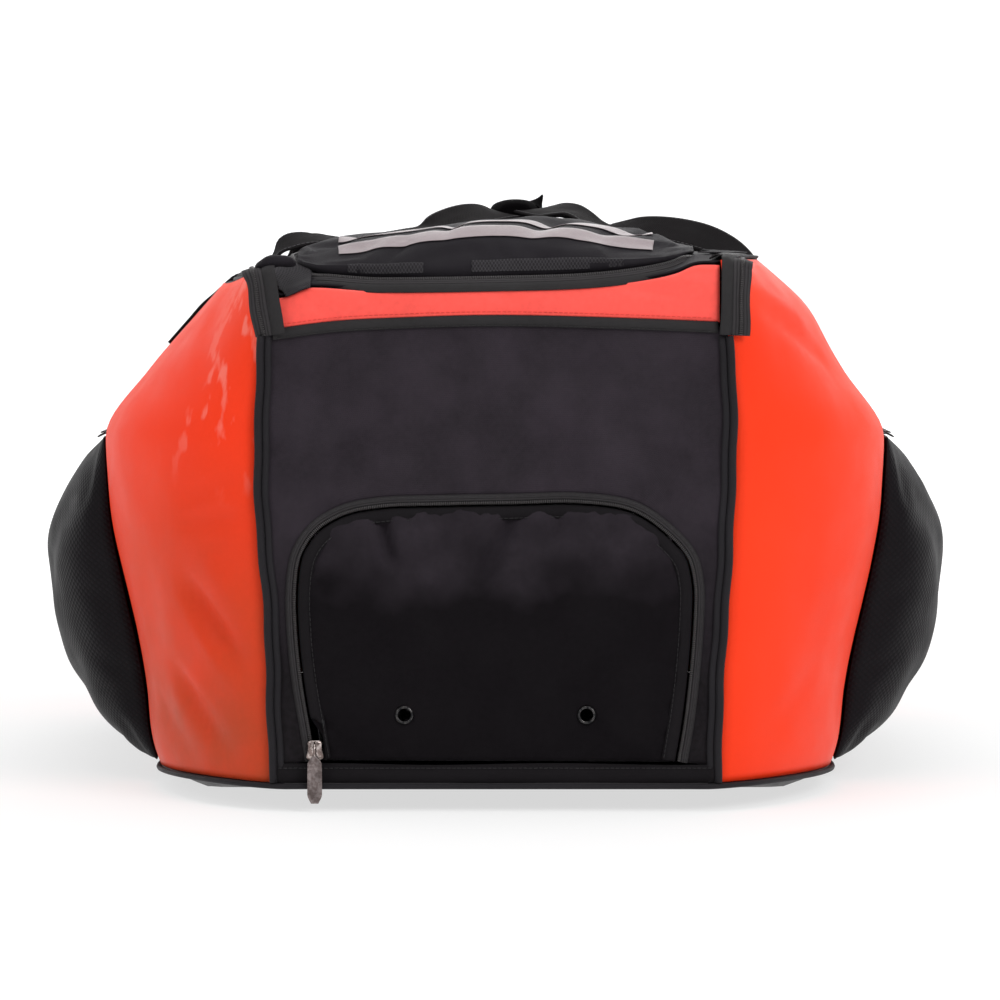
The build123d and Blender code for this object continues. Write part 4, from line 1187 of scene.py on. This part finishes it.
print("top pocket")
topFlap = dict(half=0.1330, front=-0.4385, rear=boxOf("top_pocket_flap")[1][1] - 0.0005, rows=76, columns=88,
               thick=0.0013, gap=0.0110, crown=[(-0.134, 0.3735), (-0.109, 0.3785), (-0.075, 0.3815),
        (-0.046, 0.3850), (-0.021, 0.3892), (0, 0.3910), (0.046, 0.3897), (0.074, 0.3862), (0.109, 0.3785),
        (0.134, 0.3715)], cornerDepth=0.030, pressure=2.0, spare=0.02, cap=0.0030)


def flapFrontY(x):
    return topFlap["front"] + topFlap["cornerDepth"] * np.clip(np.abs(x) / topFlap["half"], 0, 1)**7


def flapZ(x, v):
    low = np.maximum(bandTop(x) + topFlap["gap"], lidZ(x, flapFrontY(x)) + 0.0018)
    rearEdge = lidZ(x, topFlap["rear"]) + 0.0020
    ground = low + (rearEdge - low) * v
    y = flapFrontY(x) + (topFlap["rear"] - flapFrontY(x)) * v
    over = lidZ(x, y) + 0.0030
    dome = np.sin(np.pi * np.clip(v, 0, 1)**0.62)**0.62
    crest = through(topFlap["crown"], x)
    ground = np.maximum(ground, over * ease(v, 0.0, 0.1) + ground * (1 - ease(v, 0.0, 0.1)))
    return ground + (np.maximum(crest - ground, 0)) * dome


u, v = np.linspace(-1, 1, topFlap["columns"])[None, :], np.linspace(0, 1, topFlap["rows"])[:, None]**1.25
x = u * topFlap["half"] + 0 * v
y = flapFrontY(x) + (topFlap["rear"] - flapFrontY(x)) * v
grid = np.stack([x, y, flapZ(x, v)], -1)
topGrid = settle(grid, edgesOf(x.shape), (0, 0, 1), topFlap["pressure"], topFlap["spare"], topFlap["cap"])
calm = np.minimum(1, np.sin(np.pi * v)**0.7 * 1.6) * (1 - np.abs(u)**8)
creases = folds(x, y, [(-0.035, -0.425, -0.018, -0.330, -0.0020, 0.006),
                       (0.020, -0.432, 0.050, -0.340, -0.0030, 0.009),
                       (0.050, -0.430, 0.115, -0.350, -0.0026, 0.008),
                       (0.118, -0.400, 0.085, -0.320, 0.0022, 0.008),
                       (0.010, -0.360, 0.075, -0.330, 0.0020, 0.010),
                       (-0.120, -0.405, -0.060, -0.345, -0.0020, 0.009),
                       (-0.09, -0.20, 0.02, -0.12, -0.0040, 0.016),
                       (0.10, -0.22, 0.04, -0.10, -0.0035, 0.015)])
topGrid[..., 2] += calm * (1.7 * creases + 0.0010 * unevenness(grid, 0.09, 61))
clear = lidZ(topGrid[..., 0], topGrid[..., 1]) + 0.0035 * np.minimum(1, np.sin(np.pi * v) * 6) + 0.0006
topGrid[..., 2] = np.maximum(topGrid[..., 2], clear)
sheetOf("top_pocket_cloth", topGrid, (0, 0, 1), "top_flap", "lid_fabric", [lidCloth, liningCloth],
        ["top_pocket_flap"], thick=topFlap["thick"])


# the pocket's zip runs in a U round the flap: back to front on the left, across, and back again
def pocketLine(out, height, frontHeight, count=260):
    y = np.linspace(topFlap["rear"], -0.395, 26)
    left = np.stack([-(topFlap["half"] + out) + 0 * y, y,
                     lidZ(-(topFlap["half"] + out) + 0 * y, y) + height], 1)
    x = np.linspace(-0.126, 0.126, 34)
    onLid = np.where(out < 0.005, lidZ(x, flapFrontY(x)) + 0.0004, 0)
    across = np.stack([x, flapFrontY(x) - out * 0.9, np.maximum(bandTop(x) + frontHeight, onLid)], 1)
    return evenPath(np.vstack([left, across, (left * (-1, 1, 1))[::-1]]), count)


# the way the pocket's zip faces: up, and out to its own side or to the front
def lifted(line):
    return unit(np.stack([line[:, 0] * 1.5, -1.6 * (1 - ease(line[:, 1], -0.43, -0.38)),
                          np.full(len(line), 0.9)], 1))


c0, c1, c2 = pocketLine(0.0120, 0.0010, 0.0006), pocketLine(0.0095, 0.0030, 0.0062), pocketLine(0.0006,
        0.0032, 0.0108)
acrossFront = ease(np.abs(c0[:, 0]), 0.142, 0.126)[:, None]
c0[:, 1:2] -= 0.0020 * acrossFront
c1[:, 1:2] -= 0.0015 * acrossFront
for first, second, name, cloth, bow in ((c0, c1, "top_pocket_binding", bindingCloth, 0.0012),
        (c1, c2, "top_pocket_tape", tapeCloth, 0.0006)):
    grid = stripBetween(first, second, 6, bow)
    sheetOf(name, grid, lifted(first)[:, None], "lid", "zip_tape" if "tape" in name else "grey_binding",
            [cloth, backCloth], ["top_pocket_zip_tape"] if "tape" in name else [], thick=0.0009)
middle = (c1 * 0.35 + c2 * 0.65) + lifted(c1) * 0.0012
coil("top_pocket_coil", [(middle, lifted(middle))], "lid", 0.0030, 0.0012, 0.0015)

print("stripes and vents on the top pocket")


# a patch laid on the flap between two sides, over shares v of its depth, a little above the cloth
def laidOn(left, right, first, last, lift, rows=30, columns=24):
    s = np.linspace(0, 1, rows)**2
    v = first + (last - first) * s
    t = np.linspace(0, 1, columns)[None, :]
    left, right = (np.broadcast_to(place, rows)[:, None] for place in (left, right))
    x = left * (1 - t) + right * t
    share = np.broadcast_to(v[:, None]**(1 / 1.25), x.shape)
    spot = onGrid(topGrid, (x / topFlap["half"] + 1) / 2, share)
    normals = gridNormals(spot)
    normals *= np.sign(normals[..., 2:])
    return spot + normals * lift


blocks = dict(half=0.105, lift=0.0008, ventLift=0.0003, thick=0.0003)
# two plain reflective stripes run straight across the flap
for name, first, last in (("flap_stripe_front", 0.05, 0.09), ("flap_stripe_rear", 0.13, 0.17)):
    stripe = laidOn(-blocks["half"], blocks["half"], first, last, blocks["lift"], 12, 140)
    finish(gridPiece(name, stripe, (0, 0, 1)), "top_flap", "reflective_print", [reflectiveTape],
           thick=blocks["thick"], offset=1.0)
for name, leftSide, rightSide in (("flap_vent_left", -0.098, -0.0480), ("flap_vent_right", -0.0160, 0.085)):
    block = laidOn(leftSide, rightSide, 0.001, 0.008, blocks["ventLift"], 8, 60)
    sheetOf(name, block, (0, 0, 1), "top_flap", "vent_mesh", [ventNet], thick=blocks["thick"], offset=1.0)

print("handles")
strap = dict(width=0.028, thick=0.0024, columns=10, footTop=0.3408, patchAt=0.150, patchHalf=0.017)
# each front half runs from its patch on the wall up to the grip: place, then the way its face looks
leftHalf = [(-0.2350, -0.150, 0.3062, -0.74, 0, 0.67), (-0.2200, -0.150, 0.3232, -0.74, 0, 0.67),
            (-0.2105, -0.150, 0.3340, -0.74, 0, 0.67), (-0.2012, -0.150, 0.3420, -0.74, 0, 0.67),
            (-0.1935, -0.150, 0.3492, -0.68, 0, 0.74), (-0.1880, -0.150, 0.3535, -0.5, 0, 0.87),
            (-0.1800, -0.150, 0.3566, -0.30, 0, 0.95), (-0.1700, -0.150, 0.3598, -0.28, 0, 0.96),
            (-0.1620, -0.150, 0.3640, -0.5, -0.05, 0.87), (-0.1572, -0.149, 0.3710, -0.7, -0.15, 0.7),
            (-0.1515, -0.148, 0.3775, -0.4, -0.4, 0.8), (-0.1410, -0.147, 0.3806, -0.05, -0.36, 0.93),
            (-0.1260, -0.144, 0.3806, 0.05, -0.20, 0.97), (-0.1080, -0.138, 0.3800, 0, -0.08, 1),
            (-0.0830, -0.124, 0.3838, -0.1, -0.05, 1), (-0.0600, -0.108, 0.3876, -0.1, -0.05, 1),
            (-0.0480, -0.099, 0.3893, -0.1, -0.16, 1), (-0.0400, -0.092, 0.3922, -0.05, -0.60, 0.8),
            (-0.0280, -0.080, 0.3968, 0, -0.66, 0.76), (-0.0120, -0.064, 0.4000, 0, -0.64, 0.77),
            (0.0030, -0.048, 0.4000, 0, -0.4, 0.92), (0.0120, -0.033, 0.3975, 0, 0, 1),
            (0.0165, -0.016, 0.3972, 0, 0, 1), (0.0170, 0.0, 0.3972, 0, 0, 1)]
rightHalf = [(0.2350, -0.150, 0.3062, 0.74, 0, 0.67), (0.2200, -0.150, 0.3232, 0.74, 0, 0.67),
             (0.2105, -0.150, 0.3340, 0.74, 0, 0.67), (0.2012, -0.150, 0.3430, 0.74, 0, 0.67),
             (0.1945, -0.150, 0.3505, 0.72, -0.1, 0.7), (0.1890, -0.150, 0.3568, 0.66, -0.25, 0.72),
             (0.1820, -0.150, 0.3638, 0.5, -0.45, 0.74), (0.1720, -0.149, 0.3715, 0.35, -0.62, 0.72),
             (0.1600, -0.147, 0.3780, 0.22, -0.72, 0.7), (0.1480, -0.144, 0.3825, 0.1, -0.75, 0.7),
             (0.1336, -0.139, 0.3862, 0.05, -0.72, 0.72), (0.1180, -0.133, 0.3888, 0.0, -0.64, 0.78),
             (0.1020, -0.126, 0.3893, -0.1, -0.55, 0.83), (0.0880, -0.118, 0.3880, -0.15, -0.40, 0.9),
             (0.0770, -0.111, 0.3888, 0.15, -0.30, 0.92), (0.0690, -0.103, 0.3938, 0.45, -0.40, 0.85),
             (0.0610, -0.094, 0.3992, 0.40, -0.50, 0.8), (0.0520, -0.082, 0.4018, 0.15, -0.60, 0.8),
             (0.0420, -0.066, 0.4022, 0.0, -0.60, 0.8), (0.0320, -0.049, 0.4022, 0, -0.40, 0.9),
             (0.0240, -0.034, 0.4022, 0, -0.1, 1), (0.0190, -0.017, 0.4022, 0, 0, 1),
             (0.0180, 0.0, 0.4022, 0, 0, 1)]
strapShape = strapSection(strap["width"], strap["thick"], strap["columns"])
strapRows = []
for half, name, node in ((leftHalf, "left", "left_handle"), (rightHalf, "right", "right_handle")):
    back = np.array(half)[:-1][::-1] * (1, -1, 1, 1, -1, 1)
    line = evenPath(np.vstack([half, back]), 300)
    # the feet stay sewn to the wall, and the rest swings from the joint
    foot = int(np.argmax(line[:, 2] > strap["footTop"]))
    for part, rows in (("front", line[:foot + 1]), ("rear", line[-foot - 1:])):
        finish(carry(f"{name}_strap_{part}_foot", rows[:, :3], rows[:, 3:], strapShape), "shell", "webbing",
               [strapWebbing])
    path, ups = line[foot:-foot, :3], line[foot:-foot, 3:]
    finish(carry(name + "_strap", path, ups, strapShape), name + "_grip", "webbing", [strapWebbing], [node])
    along, sideways, up = directionsOf(path, ups)
    strapRows.append((name, path, sideways, up))
    # patches on the wall that the strap's ends are sewn to
    for end in (-1, 1):
        middle = end * strap["patchAt"]
        y = np.linspace(middle - strap["patchHalf"], middle + strap["patchHalf"], 12)
        y, z = np.meshgrid(y, np.linspace(0.3035, 0.3375, 12))
        side = -1 if name == "left" else 1
        spots = np.stack([side * (wallX(y, z) + 0.0034), y, z], -1)
        sheetOf(f"{name}_patch_{'front' if end < 0 else 'rear'}", spots, (side, 0, 0), "shell", "webbing",
                [strapWebbing], [name + "_handle_anchors"] if end < 0 else [], thick=0.0018, bevel=0.0004)

print("handle wrap")
wrap = dict(centre=(0.0145, 0.0, 0.3995), half=0.043, width=0.0360, height=0.0220, rows=44, sides=40)
s = np.linspace(-1, 1, wrap["rows"])
swellAt = (1 - np.abs(s)**7 * 0.35) * (1 + 0.035 * np.sin(s * 14) * (1 - s**2))
path = np.stack([wrap["centre"][0] + 0 * s, s * wrap["half"], wrap["centre"][2] + 0 * s], 1)
section = ovalSection(wrap["width"], wrap["height"], wrap["sides"], 2.6)
along, sideways, up = directionsOf(path, (0, 0, 1))
lobes = np.sin(np.arange(wrap["sides"]) * 2 * np.pi * 3 / wrap["sides"])
bumps = 1 + 0.05 * lobes[None, :] * np.sin(s * 9)[:, None]
spread = sideways[:, None] * section[None, :, :1] + up[:, None] * section[None, :, 1:]
points = path[:, None] + spread * (swellAt[:, None] * bumps)[..., None]
piece = gridPiece("handle_pad", points, loopCols=True, caps=True)
finish(piece, "left_grip", "wrap_fabric", [wrapCloth], ["handle_wrap"], smooth=1)
# the wrap's closing tab stands up a little at its free corner
u, v = np.meshgrid(np.linspace(0, 1, 14), np.linspace(-1, 1, 20))
tipHeight = 0.0015 + 0.0085 * u**1.5 * (1 - ease(np.abs(v + 0.35), 0.05, 0.55))
tabZ = wrap["centre"][2] + 0.0078 + tipHeight * 0.75 - 0.0022 * (u - 0.2)**2 * 4 * (1 - tipHeight / 0.01)
tab = np.stack([wrap["centre"][0] + 0.0045 + 0.0155 * u, v * 0.030, tabZ], -1)
sheetOf("handle_pad_tab", tab, (0, 0, 1), "left_grip", "wrap_fabric", [wrapCloth], thick=0.0014)

print("side pocket zips")
for side, name in ((-1, "left"), (1, "right")):
    low, high = boxOf(name + "_pocket_zip")
    y = np.linspace(low[1], high[1], 80)
    wallSide = np.stack([side * (wallX(y, np.full_like(y, 0.2430)) + 0.0012), y, np.full_like(y, 0.2436)], 1)
    outSide = np.stack([side * (wallX(y, np.full_like(y, 0.2430)) + 0.0095), y, np.full_like(y, 0.2412)], 1)
    sheetOf(name + "_pocket_tape", stripBetween(wallSide, outSide, 8, 0.0012), (side * 0.3, 0, 1), "shell",
            "zip_tape", [tapeCloth, backCloth], [name + "_pocket_zip"], thick=0.0009)
    middle = (wallSide + outSide) / 2 + (side * 0.0004, 0, 0.0020)
    coil(name + "_pocket_coil", [(middle, (side * 0.3, 0, 1))], "shell", 0.0036, 0.0014, 0.0016)

print("zip sliders and pullers")
pull = dict(thick=0.0022, width=0.0098, shield=(0.0116, 0.0130))


# plate in a plane: an outline of half widths along its length, a shallow hollow in its faces, rounded by its
# bevel
def pullerMesh(name, pin, tab, normal, length, width):
    side = np.cross(tab, normal)
    s = np.linspace(0, 1, 26)
    # a slim neck at the pin, the long straight blade, and its chamfered end
    half = through([(0, 0.24), (0.16, 0.26), (0.215, 0.60), (0.26, 0.92), (0.34, 0.97), (0.60, 1.0),
                    (0.84, 1.0), (1.0, 0.50)], s) * width / 2
    t = np.array([-1, -0.72, -0.36, 0, 0.36, 0.72, 1])
    x = half[:, None] * t[None, :]
    thickness = pull["thick"] / 2 * (1 - 0.25 * np.abs(t)[None,
            :]**4) * (1 + 0.18 * np.cos(s * np.pi * 2))[:, None]
    hollow = 0.00045 * np.exp(-((s - 0.62) / 0.22)**4)[:, None] * np.exp(-(t / 0.55)**4)[None, :]
    up = np.broadcast_to(thickness, x.shape) - hollow
    flat = pin + (-0.0022 + s[:, None, None] * length) * tab + x[..., None] * side
    ring = np.concatenate([flat + up[..., None] * normal, (flat - up[..., None] * normal)[:, ::-1]], 1)
    return gridPiece(name, ring, loopCols=True, caps=True)


# slider: a wide shield with a waist and the bridge over the top
def sliderMesh(name, foot, tab, normal, size):
    side = np.cross(tab, normal)
    s = np.linspace(0, 1, 18)
    half = through([(0, 0.62), (0.12, 0.86), (0.3, 0.80), (0.55, 0.86), (0.8, 1.0), (0.94, 0.92), (1, 0.70)],
                   s) * size[0] / 2
    section = ovalSection(2, 1, 14, 4.0)
    rise = 0.0022 + 0.0040 * section[None, :, 1] * (0.55 + 0.45 * np.sin(np.pi * s[:, None])**0.4)
    body = foot + ((s[:, None, None] - 0.5) * size[1]) * tab + (half[:, None] * section[None, :, 0])[...,
            None] * side
    body = body + rise[..., None] * normal
    shield = gridPiece(name, body, loopCols=True, caps=True)
    angle = np.linspace(0, np.pi, 14)
    arc = foot + (np.cos(angle) * size[1] * 0.36)[:, None] * tab
    arc = arc + (0.0034 + np.sin(angle) * 0.0052)[:, None] * normal
    bridge = carry(name + "_bridge", arc, side, ovalSection(0.0030, 0.0015, 10, 3.0))
    return [shield, bridge]


for zipName in ("end_pocket", "lid_left", "lid_right", "top_pocket", "left_pocket", "right_pocket"):
    sLow, sHigh = boxOf(zipName + "_slider")
    pLow, pHigh = boxOf(zipName + "_puller")
    normal = np.array({"end_pocket": (0, -1, 0), "lid_left": (0, 1, 0), "lid_right": (0, 1, 0)}.get(zipName,
            (0, 0, 1)), float)
    middle = (sLow + sHigh) / 2
    reach = (pLow + pHigh) / 2 - middle
    reach -= normal * (reach @ normal)
    tab = np.zeros(3)
    longest = np.argmax(np.abs(reach))
    tab[longest] = np.sign(reach[longest])
    foot = middle - normal * (np.abs(sHigh - sLow) @ np.abs(normal)) / 2
    length = np.abs(pHigh - pLow) @ np.abs(tab)
    pin = middle * (1 - np.abs(normal)) + (pLow + pHigh) / 2 * np.abs(normal)
    slider, bridge = sliderMesh(zipName + "_shield", foot, tab, normal, pull["shield"])
    finish(slider, zipName + "_slide", "dark_zinc", [darkZinc], [zipName + "_slider"], bevel=0.0003)
    finish(bridge, zipName + "_slide", "dark_zinc", [darkZinc])
    finish(pullerMesh(zipName + "_tab", pin, tab, normal, length, pull["width"]), zipName + "_pull",
           "nickel", [nickel], [zipName + "_puller"], bevel=0.0002)

print("base board")
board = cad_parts["base_board"]
for spot in board.material_slots:
    spot.material = boardSheet

print("stitching")


def onFront(x, z, out):
    return np.stack([x, np.full_like(x, frontY - out), z], 1)


stitch = dict(length=0.0026, pitch=0.0034, wide=0.00055, high=0.0004)
bead = beadShape(stitch["length"], stitch["wide"], stitch["high"], 5)


def sewn(name, lines, body, slot, thread):
    finish(setAlong(name, lines, bead, stitch["pitch"]), body, slot, [thread])


x = np.linspace(-0.145, 0.145, 60)
sewn("band_stitches", [(onFront(x, bandFoot(x) + 0.0026, 0.0019), (0, -1, 0))], "shell", "coral_satin",
     threadCoral)
shellRows = [(onFront(x, bandFoot(x) - 0.0062, 0.0030), (0, -1, 0)),
             (onFront(x, np.full_like(x, 0.0290), 0.0040), (0, -1, 0)),
             (archLine(front["outerStrip"] - 0.0004) - (0, 0.0021, 0), (0, -1, 0))]
sewn("front_stitches", shellRows, "shell", "black_polyester", threadBlack)
flapRow = flapLine(archCoil - archOut * (front["stripGap"] + front["innerStrip"] - 0.0014)) - (0, 0.0032, 0)
flapRow = flapRow[(flapRow[:, 2] > 0.062) | (np.abs(flapRow[:, 0]) < 0.1125)]
sewn("flap_stitches", [(flapRow, (0, -1, 0))], "end_flap", "black_polyester", threadBlack)
for name, path, sideways, up in strapRows:
    path, sideways, up = path[6:-6], sideways[6:-6], up[6:-6]
    rows = [(path + sideways * s * 0.0118 + up * strap["thick"] * 0.52 * f, up * f) for s in (-1, 1)
            for f in (-1, 1)]
    sewn(name + "_strap_stitches", rows, name + "_grip", "webbing", threadGrey)
for side, name in ((-1, "left"), (1, "right")):
    rows = []
    for end in (-1, 1):
        corners = [(-1, -1), (1, -1), (1, 1), (-1, 1), (-1, -1), (1, 1), (1, -1), (-1, 1)]
        y = np.array([end * 0.150 + a * 0.0135 for a, b in corners])
        z = np.array([0.3205 + b * 0.0135 for a, b in corners])
        t = np.linspace(0, len(corners) - 1, 160)
        y, z = np.interp(t, np.arange(len(corners)), y), np.interp(t, np.arange(len(corners)), z)
        rows.append((np.stack([side * (wallX(y, z) + 0.0037), y, z], 1), (side, 0, 0.5)))
    sewn(name + "_patch_stitches", rows, "shell", "webbing", threadGrey)
